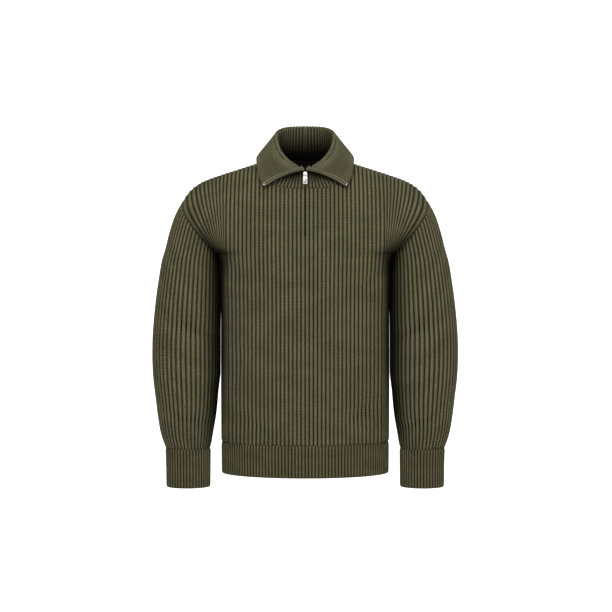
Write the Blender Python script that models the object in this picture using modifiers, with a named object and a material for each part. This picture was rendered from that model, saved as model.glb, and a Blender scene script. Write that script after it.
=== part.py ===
"""Quarter zip sweater in chunky rib knit, filled out as it is worn, hollow and open at neck, cuffs and hem.

Axes: +X to the wearer's left, -Y to the front, +Z up, metres. The origin is where the sweater hangs on
the shoulders: on the centre plane, level with the tops of the shoulders beside the neck.

The cloth is a set of walls. Each panel is a grid of points worked out from the garment's sizes, with a
second grid one cloth thickness inside it. The panels are knitted pieces: front, back, two sleeves, two
cuffs, two hem bands and one collar that stands up and folds over. Points on a seam are shared by the
pieces that meet there, then each piece is drawn back by half of the seam gap.
"""

import math

import bmesh
import bpy
import numpy as np
from mathutils import Vector

MM = 0.001

# Driving dimensions
WALL = 3.6 * MM                 # chunky rib knit
SEAM_GAP = 0.5 * MM             # between two panels at a seam
LAY_GAP = 0.4 * MM              # between a panel and what is sewn on its face
SEAM_MATCH = 0.02 * MM          # points closer than this are one point of a seam
UNDERARM_REACH = 30 * MM        # height about the underarm where body and sleeve hang face to face
ARCH_REACH = 85 * MM            # height above the underarm over which a section's square side opens out
UNDERARM_TURN = 0.35            # how far the shared normal is turned down there

HEM_Z = -684 * MM               # lower edge of the body
HEM_BAND_TOP_Z = -616 * MM
UNDERARM_Z = -196 * MM
SHOULDER_TIP_Z = -84 * MM       # top of the armhole
CUFF_Z = -713 * MM
CUFF_TOP_Z = -629 * MM

SHOULDER_TIP_X = 266.5 * MM
UNDERARM_X = 187 * MM
FAN_START_X = 170 * MM          # outside this the body's ribs lean out towards the armhole
NECK_HALF_WIDTH = 93 * MM
NECK_DROP_FRONT = 68 * MM
NECK_RISE_BACK = 8 * MM
SHOULDER_SLOPE = 0.32
SHOULDER_FALL = -SHOULDER_TIP_Z - SHOULDER_SLOPE * (SHOULDER_TIP_X - NECK_HALF_WIDTH)  # rounding at the tip
SHOULDER_ROUND_DEPTH = 90 * MM  # height over which the shoulder rounds to the full chest depth

PLACKET_END_Z = -164 * MM       # lower end of the zip opening
SLIT_HALF = 1.2 * MM            # half of the gap between the two closed knit edges
TAPE_INSET = 1.8 * MM           # tape's own edge, back from the knit edge
TAPE_WIDTH = 6.5 * MM
TAPE_THICK = 1.0 * MM

FOLD_RADIUS = 3.0 * MM          # inside of the collar's fold
COLLAR_BOW = 5.0 * MM           # how far the folded part bulges out
STAND_ROWS = 8                  # rows of the collar's grid up the stand and round the fold

CHAIN_HALF = 1.8 * MM           # the closed teeth, seen end on
CHAIN_THICK = 2.0 * MM
STOP_LENGTH = 3.5 * MM
STOP_WIDTH = 3.6 * MM
STOP_THICK = 1.6 * MM

SLIDER_TOP_Z = -32.8 * MM
SLIDER_HEIGHT = 10 * MM
SLIDER_WIDTH = 8.6 * MM
SLIDER_PLATE = 1.6 * MM
SLIDER_CLEAR = 0.5 * MM         # from the plates to the cloth and the tapes
BRIDGE_WIDTH = 2.2 * MM
BRIDGE_HEIGHT = 7.4 * MM
BRIDGE_GAP = 1.8 * MM           # room for the pull's bar under the bridge
BRIDGE_RISE = 2.8 * MM
BRIDGE_POST = 1.0 * MM

PULL_LENGTH = 20 * MM           # from the hinge line to the lower end
PULL_WIDTH = 9.6 * MM
PULL_THICK = 1.5 * MM
PULL_BAR = 1.1 * MM
PULL_WINDOW = 4.3 * MM
PULL_LOOP_WIDTH = 6.2 * MM
PULL_SLOT_UP = 3.6 * MM
PULL_SLOT_WIDE = 3.6 * MM
PULL_SLOT_TALL = 1.6 * MM

LABEL_REACH = 30 * MM           # the label lies on the body's columns within this of the centre
LABEL_TOP = 0.45                # share of the last row of the back that it covers
LABEL_GAP = 0.8 * MM
LABEL_THICK = 0.8 * MM

# Body sections from the hem up: half width at the side seams, depth to the front and to the back, and
# how square the section is (2 is an ellipse)
BODY_SECTIONS = [
    {"z": -684, "side": 183.2, "front": 121, "back": 104, "square": 2.00},
    {"z": -616, "side": 183.8, "front": 121, "back": 103, "square": 2.05},
    {"z": -450, "side": 184.5, "front": 122, "back": 100, "square": 2.25},
    {"z": -300, "side": 184.5, "front": 121, "back": 105, "square": 2.60},
    {"z": -215, "side": 185.6, "front": 119, "back": 110, "square": 3.20},
    {"z": -196, "side": 187.0, "front": 118, "back": 111, "square": 3.40},
    {"z": -130, "side": 187.0, "front": 110, "back": 110, "square": 2.70},
    {"z": -68, "side": 187.0, "front": 95, "back": 99, "square": 2.40},
    {"z": -30, "side": 187.0, "front": 87, "back": 88, "square": 2.30},
    {"z": 0, "side": 187.0, "front": 80, "back": 80, "square": 2.30},
    {"z": 30, "side": 187.0, "front": 76, "back": 76, "square": 2.30},
]

# Sleeve sections from the shoulder down: centre, half width, half depth, and the centre's place in Y
SLEEVE_SECTIONS = [
    {"z": -84, "centre": 211.5, "half": 55.0, "deep": 60, "ahead": 0},
    {"z": -120, "centre": 228.0, "half": 57.6, "deep": 62, "ahead": 0},
    {"z": -156, "centre": 238.4, "half": 59.2, "deep": 63, "ahead": 0},
    {"z": -196, "centre": 247.4, "half": 60.4, "deep": 64, "ahead": 0},
    {"z": -215, "centre": 251.0, "half": 62.4, "deep": 64.5, "ahead": 0},
    {"z": -262, "centre": 255.2, "half": 66.4, "deep": 66, "ahead": -2},
    {"z": -332, "centre": 259.6, "half": 70.8, "deep": 68, "ahead": -4},
    {"z": -405, "centre": 261.9, "half": 72.9, "deep": 68, "ahead": -7},
    {"z": -473, "centre": 260.8, "half": 71.8, "deep": 66, "ahead": -11},
    {"z": -526, "centre": 259.0, "half": 67.0, "deep": 62, "ahead": -14},
    {"z": -561, "centre": 258.6, "half": 62.8, "deep": 58, "ahead": -16},
    {"z": -596, "centre": 258.4, "half": 56.6, "deep": 52, "ahead": -18},
    {"z": -629, "centre": 256.0, "half": 49.6, "deep": 45, "ahead": -19},
    {"z": -660, "centre": 255.4, "half": 48.4, "deep": 43, "ahead": -19},
    {"z": -713, "centre": 255.2, "half": 47.8, "deep": 43, "ahead": -19},
]

# Collar stations from the centre front (0) round to the centre back (1): the top of its fold, and the
# free edge of the part that folds over
COLLAR_STATIONS = [
    {"at": 0.00, "fold_x": 1.4, "fold_y": -100, "fold_z": -25, "edge_x": 88, "edge_y": -95, "edge_z": -61},
    {"at": 0.03, "fold_x": 9.8, "fold_y": -98, "fold_z": -23, "edge_x": 93, "edge_y": -91, "edge_z": -54},
    {"at": 0.10, "fold_x": 20, "fold_y": -93, "fold_z": -17, "edge_x": 96, "edge_y": -86, "edge_z": -49},
    {"at": 0.20, "fold_x": 35, "fold_y": -81, "fold_z": -6, "edge_x": 99, "edge_y": -78, "edge_z": -43},
    {"at": 0.30, "fold_x": 47, "fold_y": -63, "fold_z": 8, "edge_x": 102, "edge_y": -67, "edge_z": -34},
    {"at": 0.40, "fold_x": 55, "fold_y": -42, "fold_z": 24, "edge_x": 105, "edge_y": -53, "edge_z": -20},
    {"at": 0.50, "fold_x": 59, "fold_y": -18, "fold_z": 39, "edge_x": 108.5, "edge_y": -28, "edge_z": -5},
    {"at": 0.60, "fold_x": 61, "fold_y": 8, "fold_z": 54, "edge_x": 109, "edge_y": 6, "edge_z": 5},
    {"at": 0.70, "fold_x": 58, "fold_y": 34, "fold_z": 67, "edge_x": 101, "edge_y": 45, "edge_z": 1},
    {"at": 0.85, "fold_x": 36, "fold_y": 61, "fold_z": 80, "edge_x": 62, "edge_y": 84, "edge_z": -5},
    {"at": 1.00, "fold_x": 0, "fold_y": 71, "fold_z": 84, "edge_x": 0, "edge_y": 99, "edge_z": -7},
]

OLIVE = (0.082, 0.077, 0.040)
OLIVE_DARK = (0.062, 0.060, 0.032)
OLIVE_LIGHT = (0.105, 0.100, 0.056)
LABEL_BLACK = (0.010, 0.010, 0.011)
TAPE_TAUPE = (0.19, 0.15, 0.115)
STEEL = (0.62, 0.61, 0.58)

UP = np.array([0.0, 0.0, 1.0])
SPLIT_RULE = Vector((1.0, 0.37, 0.11))  # any slanted direction: it only has to tell two ends of an edge apart


def clear_scene():
    for thing in list(bpy.data.objects):
        bpy.data.objects.remove(thing, do_unlink=True)


def material(name, colour, roughness, metallic):
    made = bpy.data.materials.new(name)
    made.use_nodes = True
    shader = made.node_tree.nodes["Principled BSDF"]
    shader.inputs["Base Color"].default_value = (*colour, 1.0)
    shader.inputs["Roughness"].default_value = roughness
    shader.inputs["Metallic"].default_value = metallic
    return made


def read(table, key, column, at):
    """A table's column as a smooth curve: cubic pieces whose slope at each row is that of its neighbours."""
    rows = sorted(table, key=lambda row: row[key])
    x = np.array([row[key] for row in rows], float)
    y = np.array([row[column] for row in rows], float)
    slope = np.gradient(y, x)
    at = np.clip(np.asarray(at, float), x[0], x[-1])
    i = np.clip(np.searchsorted(x, at, side="right") - 1, 0, len(x) - 2)
    span = x[i + 1] - x[i]
    t = (at - x[i]) / span
    return ((2 * t**3 - 3 * t**2 + 1) * y[i] + (t**3 - 2 * t**2 + t) * span * slope[i]
            + (3 * t**2 - 2 * t**3) * y[i + 1] + (t**3 - t**2) * span * slope[i + 1])


def body(column, z):
    scale = 1.0 if column == "square" else MM
    return read(BODY_SECTIONS, "z", column, np.asarray(z) / MM) * scale


def sleeve(column, z):
    return read(SLEEVE_SECTIONS, "z", column, np.asarray(z) / MM) * MM


def ridge_z(x):
    """Height of the shoulder line: a straight slope, rounded down at the tip and up inside the neck."""
    out = (np.abs(x) - NECK_HALF_WIDTH) / (SHOULDER_TIP_X - NECK_HALF_WIDTH)
    inside = np.clip(-out, 0, None) * (SHOULDER_TIP_X / NECK_HALF_WIDTH - 1)
    slope = -SHOULDER_SLOPE * (np.abs(x) - NECK_HALF_WIDTH)
    return slope - SHOULDER_FALL * np.clip(out, 0, None) ** 9 + 60 * MM * inside


def armhole_z(turn):
    """Height of the armhole at an angle round the sleeve: 0 at the shoulder tip, pi at the underarm."""
    return SHOULDER_TIP_Z - (SHOULDER_TIP_Z - UNDERARM_Z) * np.abs(np.sin(turn / 2)) ** 1.5


def armhole_turn(z):
    drop = np.clip((SHOULDER_TIP_Z - z) / (SHOULDER_TIP_Z - UNDERARM_Z), 0, 1)
    return 2 * np.arcsin(np.clip(drop ** (1 / 1.5), 0, 1))


def panel_edge(z):
    """Half width and depth of a body panel's edge: the side seam, and above the underarm the armhole."""
    turn = armhole_turn(np.maximum(z, UNDERARM_Z))
    x = np.where(z < UNDERARM_Z, body("side", z), sleeve("centre", z) + sleeve("half", z) * np.cos(turn))
    y = np.where(z < UNDERARM_Z, 0, sleeve("deep", z) * np.sin(turn))
    return np.where(z > SHOULDER_TIP_Z, SHOULDER_TIP_X, x), y


def shoulder_round(x, z):
    drop = np.clip((ridge_z(x) - z) / SHOULDER_ROUND_DEPTH, 0, 1)
    return (1 - (1 - drop) ** 2) ** 0.7


def body_depth(x, z, face):
    """Depth of the front or back panel at a point of its outline.

    A level section runs from the centre's full depth to the panel's edge as a rounded box below the
    underarm and as a plain arch above it, and all of it rounds to nothing at the shoulder line.
    """
    x = np.abs(np.asarray(x, float))
    z = np.asarray(z, float)
    low = np.minimum(z, SHOULDER_TIP_Z - 30 * MM)
    edge_x, edge_y = panel_edge(low)
    edge_y = edge_y / shoulder_round(edge_x, low)
    across = np.clip(x / panel_edge(z)[0], 0, 1)
    square = body("square", z)
    rise = np.clip((z - UNDERARM_Z) / ARCH_REACH, 0, 1)
    arch = 1 + (square - 1) * (1 - rise) ** 2
    depth = edge_y + (body(face, z) - edge_y) * (1 - across**square) ** (1 / arch)
    return depth * shoulder_round(x, z)


def neckline_z(x, face):
    across = np.clip(np.abs(x) / NECK_HALF_WIDTH, 0, 1)
    if face == "front":
        return -NECK_DROP_FRONT * (1 - (1 - np.sqrt(1 - across**2)) ** 1.66)
    return NECK_RISE_BACK * (1 - across**4)


def panel_columns(slit):
    """Where the ribs end at the top: round the neckline by angle, then evenly out along the shoulder."""
    neck = NECK_HALF_WIDTH * np.sin(np.radians([15, 30, 45, 60, 73, 83, 90]))
    shoulder = np.array([128, 163, 198, 234, 266.5]) * MM
    inner = [SLIT_HALF, SLIT_HALF + TAPE_INSET + TAPE_WIDTH] if slit else [8 * MM]
    half = np.concatenate([inner, neck, shoulder])
    middle = [] if slit else [0.0]
    return np.concatenate([-half[::-1], middle, half])


def panel_rows():
    """Row heights as a fraction: below the underarm, and then up the armhole by angle."""
    low = np.linspace(0, 1, 8)[:-1]
    high = (armhole_z(np.linspace(math.pi, 0, 11)) - UNDERARM_Z) / (SHOULDER_TIP_Z - UNDERARM_Z)
    return low, high


def body_panel(face, slit):
    """Grid of a body panel: columns follow the ribs, rows are level below the underarm and rise above it."""
    top_x = panel_columns(slit)
    side = np.sign(top_x)
    reach = np.abs(top_x)
    lean = np.clip((reach - FAN_START_X) / (SHOULDER_TIP_X - FAN_START_X), 0, 1)
    square = body("square", UNDERARM_Z)
    start = math.acos((FAN_START_X / UNDERARM_X) ** (square / 2))
    low_x = np.where(lean > 0, UNDERARM_X * np.cos(start * (1 - lean)) ** (2 / square), reach)
    top_z = np.where(reach < NECK_HALF_WIDTH - 1e-6, neckline_z(reach, face), ridge_z(reach))
    low, high = panel_rows()
    level_z = HEM_BAND_TOP_Z + (UNDERARM_Z - HEM_BAND_TOP_Z) * low
    level_x = low_x[None] * (body("side", level_z) / UNDERARM_X)[:, None]
    z_high = UNDERARM_Z + (top_z[None] - UNDERARM_Z) * high[:, None]
    edge_x, _ = panel_edge(UNDERARM_Z + (SHOULDER_TIP_Z - UNDERARM_Z) * high)
    along_edge = (edge_x - UNDERARM_X) / (SHOULDER_TIP_X - UNDERARM_X)
    share = high[:, None] + (along_edge - high)[:, None] * lean[None] ** 2
    x_high = low_x[None] + (reach - low_x)[None] * share
    x = np.concatenate([level_x, x_high])
    z = np.concatenate([np.repeat(level_z[:, None], len(reach), 1), z_high])
    y = body_depth(x, z, face)
    y[:, [0, -1]] = np.where(z[:, [0, -1]] < UNDERARM_Z - 1e-9, 0, panel_edge(z[:, [0, -1]])[1])
    y[-1, reach >= NECK_HALF_WIDTH - 1e-6] = 0
    return np.stack([x * side[None], y * (-1 if face == "front" else 1), z], -1)


def hem_panel(face):
    """Grid of a hem band: the body's lowest section carried down to the hem."""
    top = body_panel(face, face == "front")[0]
    centre = np.abs(top[:, 0]) > SLIT_HALF + 1e-6
    rows = []
    for z in np.linspace(HEM_Z, HEM_BAND_TOP_Z, 3):
        x = top[centre, 0] * body("side", z) / body("side", HEM_BAND_TOP_Z)
        y = body_depth(x, np.full_like(x, z), face)
        y[[0, -1]] = 0
        rows.append(np.stack([x, y * (-1 if face == "front" else 1), np.full_like(x, z)], -1))
    return np.array(rows)


def sleeve_ring(turn, z, side):
    x = sleeve("centre", z) + sleeve("half", z) * np.cos(turn)
    y = sleeve("ahead", z) - sleeve("deep", z) * np.sin(turn)
    return np.stack([x * side, y, z], -1)


def sleeve_panel(side):
    """Grid of a sleeve: each column starts on the armhole and runs down to the top of the cuff."""
    turn = np.linspace(0, 2 * math.pi, 21)[None]
    start = armhole_z(turn)
    down = np.array([0, 0.05, 0.11, 0.19, 0.28, 0.38, 0.49, 0.6, 0.7, 0.79, 0.87, 0.94, 1])[:, None]
    z = start + (CUFF_TOP_Z - start) * down
    return sleeve_ring(np.repeat(turn, len(down), 0), z, side)


def cuff_panel(side):
    turn = np.repeat(np.linspace(0, 2 * math.pi, 21)[None], 3, 0)
    z = np.repeat(np.linspace(CUFF_TOP_Z, CUFF_Z, 3)[:, None], 21, 1)
    return sleeve_ring(turn, z, side)


def neckline(front, back):
    """Points of the neck seam from the centre front round to the centre back on the +X side."""
    ahead = front[-1][front[-1][:, 0] > 0]
    ahead = ahead[ahead[:, 0] < NECK_HALF_WIDTH + 1e-6]
    behind = back[-1][back[-1][:, 0] > -1e-9]
    behind = behind[behind[:, 0] < NECK_HALF_WIDTH - 1e-6]
    return np.concatenate([ahead, behind])


def collar_half(base):
    """Grid of half the collar: up the stand, round the fold and down the folded part.

    Its face is the side that is outermost while the collar stands up, which the fold turns under.
    """
    step = np.linalg.norm(np.diff(base, axis=0), axis=1)
    at = np.concatenate([[0], np.cumsum(step)]) / step.sum()
    fold = np.stack([read(COLLAR_STATIONS, "at", key, at) for key in ("fold_x", "fold_y", "fold_z")], -1) * MM
    edge = np.stack([read(COLLAR_STATIONS, "at", key, at) for key in ("edge_x", "edge_y", "edge_z")], -1) * MM
    along = np.gradient(fold, at, axis=0)
    along[[0, -1], 1] = 0
    out = np.stack([along[:, 1], -along[:, 0], 0 * at], -1)
    out /= np.linalg.norm(out, axis=1)[:, None]
    centre = fold - UP * (WALL + FOLD_RADIUS)
    inner, outer = centre - out * FOLD_RADIUS, centre + out * FOLD_RADIUS
    lift = (5.5 * MM) * np.clip(1 - at / 0.3, 0, 1)[:, None] * UP
    rows = []
    for t in np.linspace(0, 1, 5)[:-1]:
        rows.append(base * (1 - t) + inner * t)
    for turn in np.radians([180, 135, 90, 45]):
        rows.append(centre + out * FOLD_RADIUS * math.cos(turn) + UP * FOLD_RADIUS * math.sin(turn))
    for t in np.linspace(0, 1, 6):
        bow = 4 * t * (1 - t)
        rows.append(outer * (1 - t) + edge * t + bow * (lift + out * COLLAR_BOW * (0.4 + 0.6 * at[:, None])))
    return np.array(rows)


def collar_panel(base):
    half = collar_half(base)
    other = half[:, ::-1] * np.array([-1, 1, 1])
    return np.concatenate([half, other[:, 1:]], 1)


def grid_normals(grid, closed):
    """Normals at the grid's points from the difference of their neighbours both ways."""
    if closed:
        wide = np.concatenate([grid[:, -2:-1], grid, grid[:, 1:2]], 1)
        across = (wide[:, 2:] - wide[:, :-2])
    else:
        across = np.gradient(grid, axis=1)
    normal = np.cross(across, np.gradient(grid, axis=0))
    return normal / np.maximum(np.linalg.norm(normal, axis=-1), 1e-12)[..., None]


def edge_points(panel):
    """Index pairs of the points on a panel's edges, each with the steps that lead from it into the panel."""
    grid = panel["grid"]
    rows, columns = grid.shape[:2]
    for i in range(rows):
        for j in range(columns):
            steps = []
            if i in (0, rows - 1):
                steps.append(grid[1 if i == 0 else rows - 2, j] - grid[i, j])
            if j in (0, columns - 1) and not panel["closed"]:
                steps.append(grid[i, 1 if j == 0 else columns - 2] - grid[i, j])
            if steps:
                yield i, j, steps


def settle_seams(panels):
    """Give the points that panels share one normal, then draw each panel back from the seam.

    Under the arm the body and the sleeve hang face to face, so their shared normal is turned down.
    """
    found = [(n, i, j, steps) for n, panel in enumerate(panels) for i, j, steps in edge_points(panel)]
    owner = np.array([n for n, _, _, _ in found])
    points = np.array([panels[n]["grid"][i, j] for n, i, j, _ in found])
    normals = np.array([panels[n]["normal"][i, j] for n, i, j, _ in found])
    moved = [panel["grid"].copy() for panel in panels]
    for point, (n, i, j, steps) in zip(points, found):
        near = np.nonzero(np.linalg.norm(points - point, axis=1) < SEAM_MATCH)[0]
        pieces, first = np.unique(owner[near], return_index=True)
        if len(pieces) < 2:
            continue
        shared = normals[near[first]].sum(0)
        if abs(point[0]) > FAN_START_X and abs(point[2] - UNDERARM_Z) < UNDERARM_REACH:
            shared = shared - UNDERARM_TURN * UP
        shared = shared / np.linalg.norm(shared)
        panels[n]["normal"][i, j] = shared
        for step in steps:
            flat = step - shared * np.dot(step, shared)
            moved[n][i, j] += flat / np.linalg.norm(flat) * SEAM_GAP / 2
    for panel, grid in zip(panels, moved):
        panel["grid"] = grid
        panel["lining"] = grid - WALL * panel["normal"]


def add_mesh(name, mesh, made, group):
    thing = bpy.data.objects.new(name, mesh)
    thing.data.materials.append(made)
    group.objects.link(thing)
    return thing


def rim(model, face_a, face_b, lining_a, lining_b):
    """Close a wall's edge with two triangles, split the same way on both sides of a seam."""
    if face_a.co.dot(SPLIT_RULE) < face_b.co.dot(SPLIT_RULE):
        model.faces.new([face_b, face_a, lining_b])
        model.faces.new([face_a, lining_a, lining_b])
    else:
        model.faces.new([face_b, face_a, lining_a])
        model.faces.new([face_b, lining_a, lining_b])


def wall(name, face, lining, made, group, closed=False, skip=None):
    """One closed solid between a face grid and the lining grid inside it, with rims on every open edge."""
    rows, columns = face.shape[:2]
    around = columns - 1
    used = columns - 1 if closed else columns
    model = bmesh.new()
    front = [[model.verts.new(face[i, j]) for j in range(used)] for i in range(rows)]
    behind = [[model.verts.new(lining[i, j]) for j in range(used)] for i in range(rows)]
    sides = {}
    for i in range(rows - 1):
        for j in range(around):
            if skip is not None and skip[i, j]:
                continue
            k = (j + 1) % used
            ring = [(i, j), (i, k), (i + 1, k), (i + 1, j)]
            for corner in (ring[:3], [ring[0], ring[2], ring[3]]):
                model.faces.new([front[a][b] for a, b in corner])
                model.faces.new([behind[a][b] for a, b in reversed(corner)])
            for a, b in zip(ring, ring[1:] + ring[:1]):
                sides[(a, b)] = True
    for a, b in sides:
        if (b, a) not in sides:
            rim(model, front[a[0]][a[1]], front[b[0]][b[1]], behind[a[0]][a[1]], behind[b[0]][b[1]])
    loose = [v for v in model.verts if not v.link_faces]
    bmesh.ops.delete(model, geom=loose, context="VERTS")
    bmesh.ops.recalc_face_normals(model, faces=model.faces)
    mesh = bpy.data.meshes.new(name)
    model.to_mesh(mesh)
    model.free()
    mesh.shade_smooth()
    mesh.set_sharp_from_angle(angle=math.radians(50))
    return add_mesh(name, mesh, made, group)


def box_mesh(model, centre, size):
    made = bmesh.ops.create_cube(model, size=1.0)
    bmesh.ops.scale(model, verts=made["verts"], vec=size)
    bmesh.ops.translate(model, verts=made["verts"], vec=centre)


def boolean(thing, cutter, operation):
    modifier = thing.modifiers.new(operation.title(), "BOOLEAN")
    modifier.operation = operation
    modifier.solver = "EXACT"
    modifier.object = cutter


def block(name, centre, size, bevel, made, group):
    """A bevelled block with its origin at the world's, its place in its mesh."""
    model = bmesh.new()
    box_mesh(model, centre, size)
    mesh = bpy.data.meshes.new(name)
    model.to_mesh(mesh)
    model.free()
    thing = add_mesh(name, mesh, made, group)
    if bevel > 0:
        edge = thing.modifiers.new("Bevel", "BEVEL")
        edge.width = bevel
        edge.segments = 2
    return thing


def cutter_from(name, centre, size, group, bevel=0.0):
    thing = block(name, centre, size, bevel, cutter_material, group)
    thing.hide_render = True
    thing.display_type = "WIRE"
    return thing


clear_scene()
sweater = bpy.data.collections.new("quarter_zip_sweater")
cutters = bpy.data.collections.new("cutters")
bpy.context.scene.collection.children.link(sweater)
bpy.context.scene.collection.children.link(cutters)
cutter_material = material("cutter", (1, 0, 0), 0.5, 0.0)

knit = material("olive_rib_knit", OLIVE, 0.95, 0.0)
knit_band = material("olive_band_rib", OLIVE_DARK, 0.95, 0.0)
knit_collar = material("olive_collar_rib", OLIVE_LIGHT, 0.95, 0.0)

# Panels as grids of points on their outer face
front_grid = body_panel("front", True)
back_grid = body_panel("back", False)[:, ::-1]
collar_grid = collar_panel(neckline(front_grid, back_grid))
PANELS = {
    "front": {"grid": front_grid, "closed": False, "made": knit},
    "back": {"grid": back_grid, "closed": False, "made": knit},
    "hem_front": {"grid": hem_panel("front"), "closed": False, "made": knit_band},
    "hem_back": {"grid": hem_panel("back")[:, ::-1], "closed": False, "made": knit_band},
    "sleeve_left": {"grid": sleeve_panel(1), "closed": True, "made": knit},
    "sleeve_right": {"grid": sleeve_panel(-1), "closed": True, "made": knit},
    "cuff_left": {"grid": cuff_panel(1), "closed": True, "made": knit_band},
    "cuff_right": {"grid": cuff_panel(-1), "closed": True, "made": knit_band},
    "collar": {"grid": collar_grid, "closed": False, "made": knit_collar},
}
for name, panel in PANELS.items():
    outward = -1 if name.endswith("_right") else 1
    panel["normal"] = outward * grid_normals(panel["grid"], panel["closed"])
PANELS["collar"]["normal"][:STAND_ROWS, [0, -1], 0] = 0
settle_seams(list(PANELS.values()))

# The zip opening is a slit in the front panel, from the neckline down to the end of the placket
front = PANELS["front"]
centre_column = front["grid"].shape[1] // 2 - 1
open_rows = front["grid"][:-1, centre_column, 2] > PLACKET_END_Z
slit = np.zeros((front["grid"].shape[0] - 1, front["grid"].shape[1] - 1), bool)
slit[open_rows, centre_column] = True

for name, panel in PANELS.items():
    skip = slit if name == "front" else None
    wall(name, panel["grid"], panel["lining"], panel["made"], sweater, panel["closed"], skip)

# Zip tapes: each is a strip sewn inside the slit and the collar's front edge, and shows where the
# collar folds over
collar = PANELS["collar"]
first_open = int(np.argmax(open_rows))
tape_cloth = material("zip_tape", TAPE_TAUPE, 0.9, 0.0)
steel = material("zip_steel", STEEL, 0.28, 1.0)
TAPE_EDGES = {
    "left": {"front": (centre_column + 1, centre_column + 2), "collar": (0, 1)},
    "right": {"front": (centre_column, centre_column - 1), "collar": (-1, -2)},
}


def tape_strip(side):
    """The tape's face against the cloth: the lining's points beside the zip, moved off the cloth."""
    columns = TAPE_EDGES[side]
    at_front = (slice(first_open, None), columns["front"])
    at_collar = (slice(1, None), columns["collar"])
    lining = np.concatenate([front["lining"][at_front], collar["lining"][at_collar]])
    normal = np.concatenate([front["normal"][at_front], collar["normal"][at_collar]])
    inset = TAPE_INSET / (TAPE_INSET + TAPE_WIDTH)
    lining[:, 0] += (lining[:, 1] - lining[:, 0]) * inset
    return lining - LAY_GAP * normal, normal


stop_material = material("zip_stop", STEEL, 0.3, 1.0)
for side in ("left", "right"):
    face, normal = tape_strip(side)
    back_face = face - TAPE_THICK * normal
    wall("zip_tape_" + side, face, back_face, tape_cloth, sweater)
    end = back_face[-2:] - LAY_GAP * normal[-2:]
    end[0] = end[1] + (end[0] - end[1]) * (STOP_LENGTH / np.linalg.norm(end[0] - end[1], axis=-1))[:, None]
    middle = end.mean(axis=1, keepdims=True)
    end = middle + (end - middle) * STOP_WIDTH / TAPE_WIDTH
    wall("zip_top_stop_" + side, end, end - STOP_THICK * normal[-1:], stop_material, sweater)

# Closed teeth: one strip behind the slit, from the end of the placket up to the slider
seam_line = np.concatenate([front["lining"][first_open:, centre_column], collar["lining"][1:5, 0]])
chain_top_z = SLIDER_TOP_Z - SLIDER_HEIGHT - LAY_GAP
chain_z = np.append(seam_line[seam_line[:, 2] < chain_top_z, 2], chain_top_z)
chain_y = np.interp(chain_z, seam_line[:, 2], seam_line[:, 1]) + LAY_GAP
chain = np.stack([np.stack([0 * chain_z + x, chain_y, chain_z], -1) for x in (-CHAIN_HALF, CHAIN_HALF)], 1)
wall("zip_chain", chain, chain + np.array([0, CHAIN_THICK, 0]), steel, sweater)

# Slider: a front plate with its bridge, a neck through the slit, and a back plate behind the tapes
stand_line = collar["grid"][:5, 0]
slider_z = SLIDER_TOP_Z - SLIDER_HEIGHT / 2
stand_y = np.interp(slider_z, stand_line[:, 2], stand_line[:, 1])
plate_y = stand_y - SLIDER_CLEAR - SLIDER_PLATE
back_y = stand_y + WALL + LAY_GAP + TAPE_THICK + 2 * SLIDER_CLEAR
slider = block("zip_slider", (0, plate_y + SLIDER_PLATE / 2, slider_z),
               (SLIDER_WIDTH, SLIDER_PLATE, SLIDER_HEIGHT), 0.5 * MM, steel, sweater)
bridge_y = plate_y - BRIDGE_RISE / 2
bridge_size = (BRIDGE_WIDTH, BRIDGE_RISE + 0.4 * MM, BRIDGE_HEIGHT)
bridge = cutter_from("bridge_add", (0, bridge_y + 0.2 * MM, slider_z), bridge_size,
                     cutters, 0.3 * MM)
bridge_gap = cutter_from("bridge_gap", (0, plate_y - BRIDGE_GAP / 2, slider_z),
                         (SLIDER_WIDTH, BRIDGE_GAP, BRIDGE_HEIGHT - 2 * BRIDGE_POST), cutters)
neck = cutter_from("neck_add", (0, (plate_y + back_y) / 2 + SLIDER_PLATE / 2, slider_z + SLIDER_HEIGHT / 4),
                   (2 * (SLIT_HALF - LAY_GAP), back_y - plate_y, SLIDER_HEIGHT / 4), cutters)
back_plate = cutter_from("back_plate_add", (0, back_y + SLIDER_PLATE / 2, slider_z),
                         (SLIDER_WIDTH, SLIDER_PLATE, SLIDER_HEIGHT), cutters, 0.5 * MM)
for other in (bridge, neck, back_plate):
    boolean(slider, other, "UNION")
boolean(slider, bridge_gap, "DIFFERENCE")

# Pull: a flat tab that swings on the bridge, with a window at its top for the bridge and a small slot
pull_y = plate_y - BRIDGE_GAP / 2
pull_axis_z = slider_z - BRIDGE_HEIGHT / 2 + BRIDGE_POST + PULL_BAR / 2 + LAY_GAP
pull = block("zip_pull", (0, 0, -(PULL_WINDOW + PULL_LENGTH) / 2),
             (PULL_WIDTH, PULL_THICK, PULL_LENGTH - PULL_WINDOW), 0.4 * MM, steel, sweater)
loop = cutter_from("loop_add", (0, 0, -(PULL_WINDOW + 1 * MM - PULL_BAR / 2) / 2),
                   (PULL_LOOP_WIDTH, PULL_BAR, PULL_WINDOW + 1 * MM + PULL_BAR / 2), cutters)
window = cutter_from("window_cut", (0, 0, -(PULL_WINDOW + PULL_BAR / 2) / 2),
                     (BRIDGE_WIDTH + 2 * LAY_GAP, 4 * PULL_THICK, PULL_WINDOW - PULL_BAR / 2), cutters)
slot_size = (PULL_SLOT_WIDE, 4 * PULL_THICK, PULL_SLOT_TALL)
slot = cutter_from("slot_cut", (0, 0, -PULL_LENGTH + PULL_SLOT_UP), slot_size,
                   cutters, 0.4 * MM)
boolean(pull, loop, "UNION")
boolean(pull, window, "DIFFERENCE")
boolean(pull, slot, "DIFFERENCE")
for piece in (pull, loop, window, slot):
    piece.location = (0, pull_y, pull_axis_z)

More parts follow.
